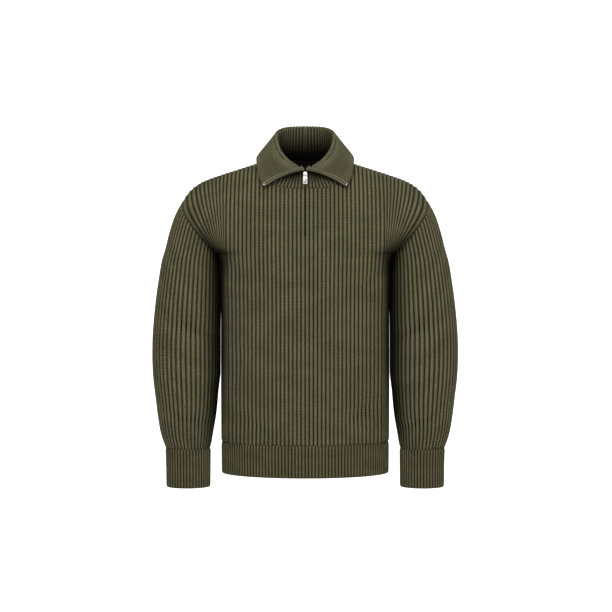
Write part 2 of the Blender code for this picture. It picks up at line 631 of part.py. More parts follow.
# Neck label: a plain black strip sewn inside the back neck
back = PANELS["back"]
label_columns = np.abs(back["grid"][-1, :, 0]) < LABEL_REACH
label_row = back["lining"][-3:, label_columns] - LABEL_GAP * back["normal"][-3:, label_columns]
label_row[-1] = label_row[-2] + (label_row[-1] - label_row[-2]) * LABEL_TOP
wall("neck_label", label_row, label_row - LABEL_THICK * back["normal"][-3:, label_columns],
     material("label", LABEL_BLACK, 0.85, 0.0), sweater)
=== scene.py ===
"""Quarter zip sweater in chunky olive rib knit: the visual model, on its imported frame.

Metres, +X to the wearer's left, -Y to the front, +Z up. Every knitted piece is a grid of points: its
columns follow the ribs and its rows follow the courses, so one rib or one stitch is a step of the grid.
"""

import math

import bmesh
import bpy
import numpy as np
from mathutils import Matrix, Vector


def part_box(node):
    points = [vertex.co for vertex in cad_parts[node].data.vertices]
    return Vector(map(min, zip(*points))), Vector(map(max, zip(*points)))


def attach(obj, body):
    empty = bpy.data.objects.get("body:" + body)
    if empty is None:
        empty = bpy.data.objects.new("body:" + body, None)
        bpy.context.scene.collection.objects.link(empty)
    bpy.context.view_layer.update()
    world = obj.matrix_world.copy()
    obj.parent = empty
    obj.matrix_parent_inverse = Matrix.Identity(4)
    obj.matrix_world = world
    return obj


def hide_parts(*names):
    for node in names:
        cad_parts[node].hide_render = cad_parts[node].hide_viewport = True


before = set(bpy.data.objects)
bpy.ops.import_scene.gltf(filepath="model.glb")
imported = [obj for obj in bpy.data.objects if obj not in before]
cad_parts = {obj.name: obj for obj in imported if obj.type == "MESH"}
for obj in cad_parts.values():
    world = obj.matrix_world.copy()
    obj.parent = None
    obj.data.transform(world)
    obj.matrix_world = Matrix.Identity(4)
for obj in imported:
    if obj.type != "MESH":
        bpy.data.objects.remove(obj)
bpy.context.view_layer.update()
MM = 0.001


# ---- Front and back panels --------------------------------------------------------------------------
# Two panels in chunky half-cardigan rib, a wool blend knitted to shape. Their ribs run straight up and
# fan out over the drop shoulder; the last three follow the armhole. Linked along shoulders and sides.

WALL = 3.4 * MM                 # thickness of the cloth between two grooves that lie back to back
RIB = 8.9 * MM                  # one rib of the body, groove to groove
COURSE = 4.4 * MM               # one row of stitches of the body
RIB_DEPTH = 3.3 * MM
SEAM_TUCK = 1.5 * MM            # how far a linked edge draws in
SEAM_REACH = 3.5 * MM

HEM_Z = -684 * MM
HEM_BAND_TOP_Z = -616 * MM
UNDERARM_Z = -206 * MM
SHOULDER_TIP_Z = -84 * MM
CUFF_Z = -713 * MM
CUFF_TOP_Z = -629 * MM
SHOULDER_TIP_X = 266.5 * MM
UNDERARM_X = 187.6 * MM
FAN_START_X = 170 * MM
NECK_HALF_WIDTH = 93 * MM
NECK_DROP_FRONT = 68 * MM
NECK_RISE_BACK = 8 * MM
SHOULDER_SLOPE = 0.32
SHOULDER_FALL = -SHOULDER_TIP_Z - SHOULDER_SLOPE * (SHOULDER_TIP_X - NECK_HALF_WIDTH)
SHOULDER_ROUND_DEPTH = 90 * MM
NECK_INSIDE_RISE = 60 * MM
ARCH_REACH = 85 * MM
PLACKET_END_Z = -168 * MM
SLIT_HALF = 0.35 * MM

UP = np.array([0.0, 0.0, 1.0])

# Height in millimetres, half width at the side seams, depth to front and back, and squareness
BODY = np.array([
    (-684, 183.2, 121, 104, 2.00), (-616, 183.8, 121, 103, 2.05), (-450, 184.5, 122, 100, 2.25),
    (-300, 184.5, 121, 105, 2.60), (-215, 187.0, 119, 110, 3.30), (-196, 188.2, 118, 111, 3.30),
    (-130, 187.0, 110, 110, 2.70), (-68, 187.0, 95, 99, 2.40), (-30, 187.0, 87, 88, 2.30),
    (0, 187.0, 80, 80, 2.30), (30, 187.0, 76, 76, 2.30)], float)
BODY_COLUMN = {"side": 1, "front": 2, "back": 3, "square": 4}


def read(table, column, at):
    """A table's column at heights in metres: cubic pieces, each row's slope set by its neighbours."""
    rows = table[np.argsort(table[:, 0])]
    x, y = rows[:, 0], rows[:, column]
    slope = np.gradient(y, x)
    at = np.clip(np.asarray(at, float), x[0], x[-1])
    i = np.clip(np.searchsorted(x, at, side="right") - 1, 0, len(x) - 2)
    span = x[i + 1] - x[i]
    t = (at - x[i]) / span
    return ((2 * t**3 - 3 * t**2 + 1) * y[i] + (t**3 - 2 * t**2 + t) * span * slope[i]
            + (3 * t**2 - 2 * t**3) * y[i + 1] + (t**3 - t**2) * span * slope[i + 1])


def body(column, z):
    """A measure of the body's section at height z, in metres; squareness has no unit."""
    return read(BODY, BODY_COLUMN[column], np.asarray(z) / MM) * (1.0 if column == "square" else MM)


# Sleeve: height in millimetres, centre, half width, half depth, and the centre's place in Y
SLEEVE = np.array([
    (-84, 211.5, 55.0, 60, 0), (-120, 228.0, 57.6, 62, 0), (-156, 238.4, 59.2, 63, 0),
    (-196, 247.4, 60.4, 64, 0), (-215, 251.0, 62.4, 64.5, 0), (-262, 255.2, 66.4, 66, -2),
    (-332, 259.6, 70.8, 68, -4), (-405, 261.9, 72.9, 68, -7), (-473, 260.8, 71.8, 66, -11),
    (-526, 259.0, 67.0, 62, -14), (-561, 258.6, 62.8, 58, -16), (-596, 258.4, 56.6, 52, -18),
    (-629, 256.0, 49.6, 45, -19), (-660, 255.4, 48.4, 43, -19), (-713, 255.2, 47.8, 43, -19)], float)
SLEEVE_COLUMN = {"centre": 1, "half": 2, "deep": 3, "ahead": 4}


def sleeve(column, z):
    """A measure of the sleeve's section at height z, in metres."""
    return read(SLEEVE, SLEEVE_COLUMN[column], np.asarray(z) / MM) * MM


def ridge_z(x):
    """Shoulder line: a straight slope, less its fall at the tip by the ninth power, higher in the neck."""
    out = (np.abs(x) - NECK_HALF_WIDTH) / (SHOULDER_TIP_X - NECK_HALF_WIDTH)
    inside = np.clip(-out, 0, None) * (SHOULDER_TIP_X / NECK_HALF_WIDTH - 1)
    slope = -SHOULDER_SLOPE * (np.abs(x) - NECK_HALF_WIDTH)
    return slope - SHOULDER_FALL * np.clip(out, 0, None) ** 9 + NECK_INSIDE_RISE * inside


def armhole_z(turn):
    """Armhole height round the sleeve: falls from the tip by |sin(turn / 2)| to the power 1.5."""
    return SHOULDER_TIP_Z - (SHOULDER_TIP_Z - UNDERARM_Z) * np.abs(np.sin(turn / 2)) ** 1.5


def panel_edge(z):
    """(x, y) of a panel's edge: the side seam, and above the underarm the armhole on the sleeve's oval."""
    drop = np.clip((SHOULDER_TIP_Z - z) / (SHOULDER_TIP_Z - UNDERARM_Z), 0, 1)
    turn = 2 * np.arcsin(np.clip(drop ** (1 / 1.5), 0, 1))
    x = np.where(z < UNDERARM_Z, body("side", z), sleeve("centre", z) + sleeve("half", z) * np.cos(turn))
    y = np.where(z < UNDERARM_Z, 0, sleeve("deep", z) * np.sin(turn))
    return np.where(z > SHOULDER_TIP_Z, SHOULDER_TIP_X, x), y


def shoulder_round(x, z):
    """(1 - (1 - drop)^2)^0.7, with drop the share of 90 mm below the shoulder line."""
    drop = np.clip((ridge_z(x) - z) / SHOULDER_ROUND_DEPTH, 0, 1)
    return (1 - (1 - drop) ** 2) ** 0.7


def body_depth(x, z, face):
    """Depth of a panel: edge + (centre - edge)(1 - across^square)^(1 / arch), rounded at the shoulder."""
    x = np.abs(x)
    low = np.minimum(z, SHOULDER_TIP_Z - 30 * MM)
    edge_x, edge_y = panel_edge(low)
    edge_y = edge_y / shoulder_round(edge_x, low)
    across = np.clip(x / panel_edge(z)[0], 0, 1)
    square = body("square", z)
    rise = np.clip((z - UNDERARM_Z) / ARCH_REACH, 0, 1)
    arch = 1 + (square - 1) * (1 - rise) ** 2
    return (edge_y + (body(face, z) - edge_y) * (1 - across**square) ** (1 / arch)) * shoulder_round(x, z)


def neckline_z(x, face):
    """Neckline: front -drop (1 - (1 - sqrt(1 - s^2))^1.66), back rise (1 - s^4), s across the neck."""
    across = np.clip(np.abs(x) / NECK_HALF_WIDTH, 0, 1)
    if face == "front":
        return -NECK_DROP_FRONT * (1 - (1 - np.sqrt(1 - across**2)) ** 1.66)
    return NECK_RISE_BACK * (1 - across**4)


def panel_grid(face, reach, below, above):
    """Half a panel: columns are ribs by where they end at the top, rows level below the underarm.

    Outside 170 mm the ribs crowd together at the underarm and lean out, the last ones along the armhole.
    """
    lean = np.clip((reach - FAN_START_X) / (SHOULDER_TIP_X - FAN_START_X), 0, 1)
    square = body("square", UNDERARM_Z)
    start = math.acos((FAN_START_X / UNDERARM_X) ** (square / 2))
    low_x = np.where(lean > 0, UNDERARM_X * np.cos(start * (1 - lean)) ** (2 / square), reach)
    top_z = np.where(reach < NECK_HALF_WIDTH, neckline_z(reach, face), ridge_z(reach))
    low = np.linspace(0, 1, below)[:-1]
    high = (armhole_z(np.linspace(math.pi, 0, above)) - UNDERARM_Z) / (SHOULDER_TIP_Z - UNDERARM_Z)
    level_z = HEM_BAND_TOP_Z + (UNDERARM_Z - HEM_BAND_TOP_Z) * low
    level_x = low_x[None] * (body("side", level_z) / UNDERARM_X)[:, None]
    z_high = UNDERARM_Z + (top_z[None] - UNDERARM_Z) * high[:, None]
    edge_x, _ = panel_edge(UNDERARM_Z + (SHOULDER_TIP_Z - UNDERARM_Z) * high)
    along_edge = (edge_x - UNDERARM_X) / (SHOULDER_TIP_X - UNDERARM_X)
    share = high[:, None] + (along_edge - high)[:, None] * lean[None] ** 2
    x = np.concatenate([level_x, low_x[None] + (reach - low_x)[None] * share])
    z = np.concatenate([np.repeat(level_z[:, None], len(reach), 1), z_high])
    y = body_depth(x, z, face)
    y[:, -1] = np.where(z[:, -1] < UNDERARM_Z - 0.01 * MM, 0, panel_edge(z[:, -1])[1])
    y[-1, reach >= NECK_HALF_WIDTH] = 0
    return ease_underarm(np.stack([x, y * (-1 if face == "front" else 1), z], -1), below)


def ease_underarm(grid, below, passes=60, rows=18):
    """Evens out a panel's depth across the underarm level: repeated (1, 2, 1) / 4 means up its columns."""
    i = np.arange(len(grid))[:, None]
    away = (grid[:, -1:, 0] - grid[..., 0]) / np.maximum(grid[:, -1:, 0], MM)
    near = np.clip(1.5 - np.abs(i - below) / rows, 0, 1) * np.clip(away * 5, 0, 1)
    y = grid[..., 1]
    for _ in range(passes):
        mean = y.copy()
        mean[1:-1] = (y[:-2] + 2 * y[1:-1] + y[2:]) / 4
        y = y + (mean - y) * near
    grid[..., 1] = y
    return grid


def both_halves(half):
    """The half grid's mirror image in X, and beside it the half grid."""
    return np.concatenate([half[:, ::-1] * np.array([-1, 1, 1]), half], 1)


def normals(grid, closed=False):
    """Cross product of the steps across and up the grid, each taken between a point's neighbours."""
    wide = np.concatenate([grid[:, -2:-1], grid, grid[:, 1:2]], 1) if closed else grid
    across = wide[:, 2:] - wide[:, :-2] if closed else np.gradient(wide, axis=1)
    made = np.cross(across, np.gradient(grid, axis=0))
    return unit(made)


def run(grid, axis):
    """Distance along each line of the grid from its first point."""
    step = np.linalg.norm(np.diff(grid, axis=axis), axis=-1)
    start = np.zeros_like(np.take(step, [0], axis=axis))
    return np.concatenate([start, np.cumsum(step, axis=axis)], axis=axis)


def rib(u, depth):
    """Rib relief: depth (|sin(pi u)|^0.7 - 0.8), so whole numbers are grooves and the crests are broad."""
    return depth * (np.abs(np.sin(math.pi * u)) ** 0.7 - 0.8)


def tuck(distance, depth=SEAM_TUCK, reach=SEAM_REACH):
    """Relief beside an edge: -depth exp(-(distance / reach)^2)."""
    return -depth * np.exp(-((distance / reach) ** 2))


def unit(vectors):
    """Vectors divided by their lengths."""
    return vectors / np.maximum(np.linalg.norm(vectors, axis=-1), 1e-9)[..., None]


def at_seam(distance, reach=3.0 * MM):
    """1 on a linked edge, falling away over its reach: exp(-(distance / reach)^2)."""
    return np.exp(-((distance / reach) ** 2))


def trough(a, b, start, end, width, depth):
    """A crease between two points of the (a, b) plane: -depth exp(-(distance / width)^2), ends faded."""
    start, end = np.array(start, float), np.array(end, float)
    line = end - start
    t = ((a - start[0]) * line[0] + (b - start[1]) * line[1]) / (line @ line)
    near = np.clip(t, 0, 1)
    gap = np.hypot(a - start[0] - near * line[0], b - start[1] - near * line[1])
    fade = np.sin(math.pi * np.clip(t * 0.8 + 0.1, 0, 1))
    return -depth * np.exp(-((gap / width) ** 2)) * fade


def knit_piece(name, face, normal, relief, lining_relief, uv, closed=False, skip=None, painted_light=(1.0, 0.25)):
    """A closed shell: the face grid and a lining one wall inside it, each with its relief, and rims.

    The last argument is painted shade for the face and the lining: 1 keeps the knit's colour, 0 darkens it
    to near black, as values or grids.
    """
    rows, columns = face.shape[:2]
    used = columns - 1 if closed else columns
    outer = face + normal * relief[..., None]
    inner = face - normal * (WALL + lining_relief)[..., None]
    index = np.arange(rows * used).reshape(rows, used)
    ring = np.concatenate([index, index[:, :1]], 1) if closed else index
    keep = np.ones((rows - 1, ring.shape[1] - 1), bool) if skip is None else ~skip
    quads = np.stack([ring[:-1, :-1], ring[:-1, 1:], ring[1:, 1:], ring[1:, :-1]], -1)[keep]
    wide = np.pad(keep, 1)
    rims = []
    for open_side, a, b in (
            (keep & ~wide[:-2, 1:-1], ring[:-1, 1:], ring[:-1, :-1]),
            (keep & ~wide[2:, 1:-1], ring[1:, :-1], ring[1:, 1:]),
            (keep & ~(wide[1:-1, :-2] | closed), ring[:-1, :-1], ring[1:, :-1]),
            (keep & ~(wide[1:-1, 2:] | closed), ring[1:, 1:], ring[:-1, 1:])):
        a, b = a[open_side], b[open_side]
        rims.append(np.stack([a, b, b + rows * used, a + rows * used], -1))
    polygons = np.concatenate([quads, quads[:, ::-1] + rows * used] + rims)
    points = np.concatenate([outer[:, :used].reshape(-1, 3), inner[:, :used].reshape(-1, 3)])
    mesh = bpy.data.meshes.new(name)
    mesh.from_pydata(points.tolist(), [], polygons.tolist())
    flat = np.concatenate([uv[:, :used].reshape(-1, 2)] * 2)[polygons.reshape(-1)]
    if closed:
        ribs = uv[0, -1, 0]
        corner = flat.reshape(-1, 4, 2)
        corner[..., 0] += ribs * ((corner[..., 0].max(1, keepdims=True) - corner[..., 0]) > ribs / 2)
    layer = mesh.uv_layers.new(name="knit")
    layer.data.foreach_set("uv", flat.astype(np.float32).reshape(-1))
    # Painted shade per point, from 1, the knit's own colour, down to 0, near black
    seen = mesh.attributes.new("painted_ambient_light", "FLOAT", "POINT")
    levels = np.concatenate([(a + np.zeros((rows, columns)))[:, :used].reshape(-1) for a in painted_light])
    seen.data.foreach_set("value", levels.astype(np.float32))
    mesh.polygons.foreach_set("use_smooth", np.ones(len(polygons), bool))
    mesh.update()
    thing = bpy.data.objects.new(name, mesh)
    bpy.context.scene.collection.objects.link(thing)
    return thing


def shader_group(name, inputs, outputs):
    """An empty shader node group with the named sockets."""
    group = bpy.data.node_groups.new(name, "ShaderNodeTree")
    for label, kind in inputs:
        group.interface.new_socket(label, in_out="INPUT", socket_type="NodeSocket" + kind)
    for label, kind in outputs:
        group.interface.new_socket(label, in_out="OUTPUT", socket_type="NodeSocket" + kind)
    return group, group.nodes.new("NodeGroupInput"), group.nodes.new("NodeGroupOutput")


def math_node(tree, operation, *values):
    """A Math node's output; its inputs are numbers or other nodes' outputs."""
    node = tree.nodes.new("ShaderNodeMath")
    node.operation = operation
    for socket, value in zip(node.inputs, values):
        if isinstance(value, (int, float)):
            socket.default_value = value
        else:
            tree.links.new(value, socket)
    return node.outputs[0]


def noise_node(tree, vector, scale, detail):
    """Smooth noise over a vector, about 0.5."""
    node = tree.nodes.new("ShaderNodeTexNoise")
    node.inputs["Scale"].default_value = scale
    node.inputs["Detail"].default_value = detail
    tree.links.new(vector, node.inputs["Vector"])
    return node.outputs["Fac"]


def span_node(tree, value, low, high, out_low, out_high):
    """A value's share of low to high, carried over to out_low to out_high with soft ends."""
    node = tree.nodes.new("ShaderNodeMapRange")
    node.interpolation_type = "SMOOTHSTEP"
    for label, number in (("From Min", low), ("From Max", high), ("To Min", out_low), ("To Max", out_high)):
        node.inputs[label].default_value = number
    tree.links.new(value, node.inputs["Value"])
    return node.outputs["Result"]


def mix_colour(tree, share, a, b):
    """a (1 - share) + b share, for colours or other nodes' outputs."""
    node = tree.nodes.new("ShaderNodeMix")
    node.data_type = "RGBA"
    tree.links.new(share, node.inputs["Factor"])
    for socket, value in zip((node.inputs[6], node.inputs[7]), (a, b)):
        if isinstance(value, tuple):
            socket.default_value = (*value, 1.0)
        else:
            tree.links.new(value, socket)
    return node.outputs[2]


# Stitches, shared by all knit: x counts ribs and y counts courses. Each rib is a row of slanted loops
# that meet at its crest. Painted shade darkens each groove and the gaps between the loops toward the
# Shade colour, deepest at a painted dark hole between every two courses.
knit_group, knit_in, knit_out = shader_group(
    "rib knit stitches", [("Knit", "Vector"), ("Yarn", "Color"), ("Shade", "Color")],
    [("Color", "Color"), ("Height", "Float")])
split = knit_group.nodes.new("ShaderNodeSeparateXYZ")
knit_group.links.new(knit_in.outputs["Knit"], split.inputs[0])
wander = noise_node(knit_group, knit_in.outputs["Knit"], 0.55, 2.0)
along = math_node(knit_group, "ADD", split.outputs[1], math_node(knit_group, "MULTIPLY", wander, 0.9))
side = math_node(knit_group, "ABSOLUTE", math_node(
    knit_group, "SUBTRACT", math_node(knit_group, "FRACT", split.outputs[0]), 0.5))
slant = math_node(knit_group, "SUBTRACT", along, math_node(knit_group, "MULTIPLY", side, 1.5))
loop_wave = math_node(knit_group, "COSINE", math_node(knit_group, "MULTIPLY", slant, 2 * math.pi))
loop = math_node(knit_group, "MULTIPLY_ADD", loop_wave, 0.5, 0.5)
hole_wave = math_node(knit_group, "COSINE", math_node(knit_group, "MULTIPLY", along, 2 * math.pi))
groove = span_node(knit_group, side, 0.17, 0.40, 0.0, 1.0)
deep = span_node(knit_group, side, 0.27, 0.46, 0.0, 1.0)
opening = math_node(knit_group, "MULTIPLY", deep, span_node(knit_group, hole_wave, -0.2, 0.9, 0.0, 1.0))
hole = math_node(knit_group, "MAXIMUM", math_node(knit_group, "MULTIPLY", groove, 0.80), opening)
fibre = noise_node(knit_group, knit_in.outputs["Knit"], 7.0, 4.0)
fleck = noise_node(knit_group, knit_in.outputs["Knit"], 2.6, 3.0)
patch = noise_node(knit_group, knit_in.outputs["Knit"], 0.12, 2.0)
marled = mix_colour(knit_group, span_node(knit_group, fleck, 0.48, 0.68, 0.0, 0.75),
                    knit_in.outputs["Yarn"], (0.195, 0.176, 0.093))
marled = mix_colour(knit_group, span_node(knit_group, fleck, 0.46, 0.28, 0.0, 0.60),
                    marled, (0.028, 0.025, 0.013))
patched = mix_colour(knit_group, span_node(knit_group, patch, 0.35, 0.65, 0.0, 0.16),
                     marled, knit_in.outputs["Shade"])
# Painted shade between the slanted loops
between = mix_colour(knit_group, span_node(knit_group, loop, 0.45, 0.05, 0.0, 0.45),
                     patched, knit_in.outputs["Shade"])
# Painted shade in the grooves and their holes
knit_group.links.new(mix_colour(knit_group, math_node(knit_group, "MULTIPLY", hole, 0.97),
                                between, knit_in.outputs["Shade"]), knit_out.inputs["Color"])
height = math_node(knit_group, "MULTIPLY_ADD", fibre, 0.5, loop)
knit_group.links.new(math_node(knit_group, "SUBTRACT", height, opening), knit_out.inputs["Height"])


def knit_material(name, yarn, shade, loops=0.9):
    """A matt knit of one yarn, with painted shade: darkened toward near black where its painted ambient
    light attribute is below 1.
    """
    made = bpy.data.materials.new(name)
    made.use_nodes = True
    tree = made.node_tree
    shader = tree.nodes["Principled BSDF"]
    shader.inputs["Roughness"].default_value = 0.92
    shader.inputs["Specular IOR Level"].default_value = 0.04
    place = tree.nodes.new("ShaderNodeUVMap")
    place.uv_map = "knit"
    stitches = tree.nodes.new("ShaderNodeGroup")
    stitches.node_tree = knit_group
    tree.links.new(place.outputs[0], stitches.inputs["Knit"])
    stitches.inputs["Yarn"].default_value = (*yarn, 1.0)
    stitches.inputs["Shade"].default_value = (*shade, 1.0)
    bump = tree.nodes.new("ShaderNodeBump")
    bump.inputs["Strength"].default_value = loops
    bump.inputs["Distance"].default_value = 0.8 * MM
    tree.links.new(stitches.outputs["Height"], bump.inputs["Height"])
    dim = tree.nodes.new("ShaderNodeAttribute")
    dim.attribute_name = "painted_ambient_light"
    darkened = tree.nodes.new("ShaderNodeMix")
    darkened.data_type = "RGBA"
    # The painted shade colour, near black
    darkened.inputs[6].default_value = (0.0006, 0.0006, 0.0004, 1.0)
    tree.links.new(dim.outputs["Fac"], darkened.inputs["Factor"])
    tree.links.new(stitches.outputs["Color"], darkened.inputs[7])
    tree.links.new(darkened.outputs[2], shader.inputs["Base Color"])
    tree.links.new(bump.outputs[0], shader.inputs["Normal"])
    return made


def sew_on(piece, finish, node=None, carrier="sweater"):
    """Gives a piece its finish, hides the solid it stands in for, and hangs it on the body that carries it.
    """
    piece.data.materials.append(finish)
    if node:
        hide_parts(node)
    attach(piece, carrier)


chunky_rib = knit_material("olive chunky rib knit", (0.122, 0.117, 0.065), (0.0045, 0.0042, 0.0024))

PER_RIB = 7                     # grid steps across one rib
ROWS_BELOW, ROWS_ABOVE = 68, 36
PARALLEL_RIBS = 3
ARMHOLE_GROOVE = 1.8 * MM       # depth and half width of the groove inside the last three ribs
BODY_LINING = 0.8 * MM          # rib relief on the cloth's inner side
half_ribs = SHOULDER_TIP_X / RIB
reach = np.linspace(0, SHOULDER_TIP_X, round(half_ribs * PER_RIB) + 1)

# Soft creases of front and back: from (x, z) to (x, z) and width, in metres, then depth in millimetres
SIDE_CREASES = (
    ((-0.16, -0.55), (-0.05, -0.60), 0.016, 2.2), ((0.165, -0.52), (0.07, -0.585), 0.018, 2.6),
    ((0.172, -0.235), (0.11, -0.30), 0.015, 2.4), ((-0.172, -0.228), (-0.115, -0.275), 0.014, 2.0))
FACE_CREASES = {
    "front": (((0.0, -0.175), (-0.018, -0.225), 0.010, 1.6), ((-0.13, -0.40), (-0.16, -0.48), 0.020, 2.0)),
    "back": (((-0.06, -0.13), (0.02, -0.165), 0.022, 2.4), ((0.05, -0.42), (0.13, -0.47), 0.024, 2.2))}


def body_relief(grid, u, reach_row, face):
    """Ribs, a deeper groove inside the last three ribs, seam tucks, and the panel's own soft creases."""
    x, z = grid[..., 0], grid[..., 2]
    up = run(grid, 0)
    line = SHOULDER_TIP_X - PARALLEL_RIBS * RIB
    above = np.clip((z - UNDERARM_Z) / (40 * MM), 0, 1)
    made = rib(u, RIB_DEPTH)
    made += tuck(np.abs(reach_row - line)[None], ARMHOLE_GROOVE, ARMHOLE_GROOVE) * above
    for begin, end, width, depth in SIDE_CREASES + FACE_CREASES[face]:
        made += trough(x, z, begin, end, width, depth * MM)
    across = run(grid, 1)
    edge = np.minimum(np.minimum(up, up[-1] - up), np.minimum(across, across[:, -1:] - across))
    return made * (1 - at_seam(edge)) - SEAM_TUCK * at_seam(edge)


def oval_normal(turn, z, side):
    """Outward normal of the sleeve's oval: (cos(turn) / half, -sin(turn) / deep), made one long."""
    made = np.stack([np.cos(turn) / sleeve("half", z) * side, -np.sin(turn) / sleeve("deep", z), 0 * z], -1)
    return unit(made)


def link_armholes(grid, normal):
    """Lean a panel's normals at its armholes to the one it shares with the sleeve; returns those as well."""
    shared = {}
    rows = slice(ROWS_BELOW - 1, None)
    for side, edge in ((1, -1), (-1, 0)):
        if grid[0, -1, 0] < 0:
            side = -side
        z = grid[rows, edge, 2]
        turn = np.linspace(math.pi, 0, ROWS_ABOVE)
        turn = turn if grid[ROWS_BELOW, 20, 1] < 0 else 2 * math.pi - turn
        down = 0.4 * np.exp(-(((z - UNDERARM_Z) / (30 * MM)) ** 2))[:, None] * UP
        both = unit(normal[rows, edge] + oval_normal(turn, z, side) - down)
        line = grid[rows] if edge == 0 else grid[rows, ::-1]
        weight = at_seam(run(line, 1), 5 * MM)[..., None]
        weight = weight if edge == 0 else weight[:, ::-1]
        normal[rows] = unit(normal[rows] * (1 - weight) + both[:, None] * weight)
        shared[side] = (turn, both)
    return shared


SIDE_SHADE_X = 164 * MM         # where painted shade starts on the body beside the sleeve
ARMHOLE_SHADE = 26 * MM
SLIT_SHADE = 1.9 * MM


def body_painted_light(grid, slit=False):
    """Painted shade between body and sleeve, near the side seams and along the lower armholes, and beside
    the slit if asked.
    """
    x, z = np.abs(grid[..., 0]), grid[..., 2]
    side = np.clip((x - SIDE_SHADE_X) / (15 * MM), 0, 1)
    side = side * np.clip((UNDERARM_Z + 14 * MM - z) / (30 * MM), 0, 1)
    low = np.clip((-100 * MM - z) / (90 * MM), 0, 1) * np.clip((z - UNDERARM_Z + 60 * MM) / (60 * MM), 0, 1)
    edge = low * np.exp(-(((panel_edge(z)[0] - x) / ARMHOLE_SHADE) ** 2))
    made = (1 - 0.95 * side * np.clip((z - HEM_Z) / (250 * MM), 0.35, 1)) * (1 - 0.75 * edge)
    if slit:
        made *= 1 - 0.95 * np.exp(-((x / SLIT_SHADE) ** 2)) * (z > PLACKET_END_Z - 4 * MM)
    return made


half_reach = np.concatenate([[SLIT_HALF], reach[2:]])
front_half = panel_grid("front", half_reach, ROWS_BELOW, ROWS_ABOVE)
front_grid = both_halves(front_half)
front_reach = np.concatenate([half_reach[::-1], half_reach])
front_u = np.concatenate([-half_reach[::-1], half_reach]) / RIB + np.zeros((len(front_grid), 1))
front_normal = normals(front_grid)
front_shared = link_armholes(front_grid, front_normal)
front_uv = np.stack([front_u, run(front_grid, 0) / COURSE], -1)
middle = len(half_reach) - 1
slit = np.zeros((len(front_grid) - 1, front_grid.shape[1] - 1), bool)
slit[front_grid[:-1, middle, 2] > PLACKET_END_Z, middle] = True
# Painted shade on the front, and its lining painted near black
front_piece = knit_piece("front_panel", front_grid, front_normal,
                         body_relief(front_grid, front_u, front_reach, "front"),
                         rib(front_u + 0.5, BODY_LINING), front_uv, skip=slit,
                         painted_light=(body_painted_light(front_grid, True), 0.05))
sew_on(front_piece, chunky_rib, "front")

back_half = panel_grid("back", reach, ROWS_BELOW, ROWS_ABOVE)
back_grid = np.concatenate([back_half[:, ::-1], back_half[:, 1:] * np.array([-1, 1, 1])], 1)
back_reach = np.concatenate([reach[::-1], reach[1:]])
back_u = np.concatenate([reach[::-1], -reach[1:]]) / RIB + 0.5 + np.zeros((len(back_grid), 1))
back_normal = normals(back_grid)
back_shared = link_armholes(back_grid, back_normal)
back_uv = np.stack([back_u, run(back_grid, 0) / COURSE], -1)
# Painted shade on the back, and its lining painted near black
back_piece = knit_piece("back_panel", back_grid, back_normal,
                        body_relief(back_grid, back_u, back_reach, "back"),
                        rib(back_u + 0.5, BODY_LINING), back_uv, painted_light=(body_painted_light(back_grid), 0.04))
sew_on(back_piece, chunky_rib, "back")


# ---- Hem bands --------------------------------------------------------------------------------------
# Two bands of the same yarn in a finer, closer rib, linked to the lower edges of front and back and to
# each other at the sides. They draw the hem in a little.

FINE_COURSE = 3.4 * MM
FINE_DEPTH = 2.6 * MM
PER_FINE_RIB = 6                # grid steps across one fine rib
LOWER_ROLL = 1.2 * MM           # how far the free lower edge rolls in
BAND_LINING = 1.0 * MM
# The body's yarn painted darker for the bands and cuffs: painted shade, as they sit low, away from the light
# above
band_rib_painted_darker = knit_material("olive band rib knit painted darker", (0.104, 0.100, 0.054), (0.0040, 0.0037, 0.0020))


def hem_grid(face, count, rows):
    """The body's lowest sections, carried down to the hem, its points evenly spaced round the section."""
    dense = body("side", HEM_BAND_TOP_Z) * np.sin(np.linspace(-math.pi / 2, math.pi / 2, 2000))
    z = np.full_like(dense, HEM_BAND_TOP_Z)
    curve = np.stack([dense, body_depth(dense, z, face)], -1)
    length = np.concatenate([[0], np.cumsum(np.linalg.norm(np.diff(curve, axis=0), axis=1))])
    x = np.interp(np.linspace(0, length[-1], count), length, dense)
    levels = np.linspace(HEM_Z, HEM_BAND_TOP_Z, rows)[:, None]
    x = x[None] * body("side", levels) / body("side", HEM_BAND_TOP_Z)
    z = levels + 0 * x
    y = body_depth(x, z, face)
    y[:, [0, -1]] = 0
    grid = np.stack([x, y * (-1 if face == "front" else 1), z], -1)
    return grid if face == "front" else grid[:, ::-1]


def band_relief(grid, u, closed=False):
    """Fine ribs, drawn in at the join above and at the sides, with a soft roll at the free lower edge."""
    up = run(grid, 0)
    across = run(grid, 1)
    edge = up[-1] - up if closed else np.minimum(up[-1] - up, np.minimum(across, across[:, -1:] - across))
    made = rib(u, FINE_DEPTH) + tuck(up, LOWER_ROLL, 2.5 * MM)
    return made * (1 - at_seam(edge)) - SEAM_TUCK * at_seam(edge)


HEM_RIBS = 68
HEM_ROWS = 26
for face, cut_width in (("front", 0.485), ("back", 0.461)):
    grid = hem_grid(face, HEM_RIBS * PER_FINE_RIB + 1, HEM_ROWS)
    u = np.linspace(0, HEM_RIBS, grid.shape[1])[None] + np.zeros((len(grid), 1))
    uv = np.stack([u, run(grid, 0) / FINE_COURSE], -1)
    piece = knit_piece("hem_band_" + face, grid, normals(grid), band_relief(grid, u),
                       rib(u + 0.5, BAND_LINING), uv)
    sew_on(piece, band_rib_painted_darker, "hem_" + face)


# ---- Sleeves ----------------------------------------------------------------------------------------
# Two sleeves in the body's chunky rib, one seam each, linked into the armholes. Their ribs run straight
# down. They fall from a dropped shoulder, fullest below the elbow, and are drawn in to the cuffs.

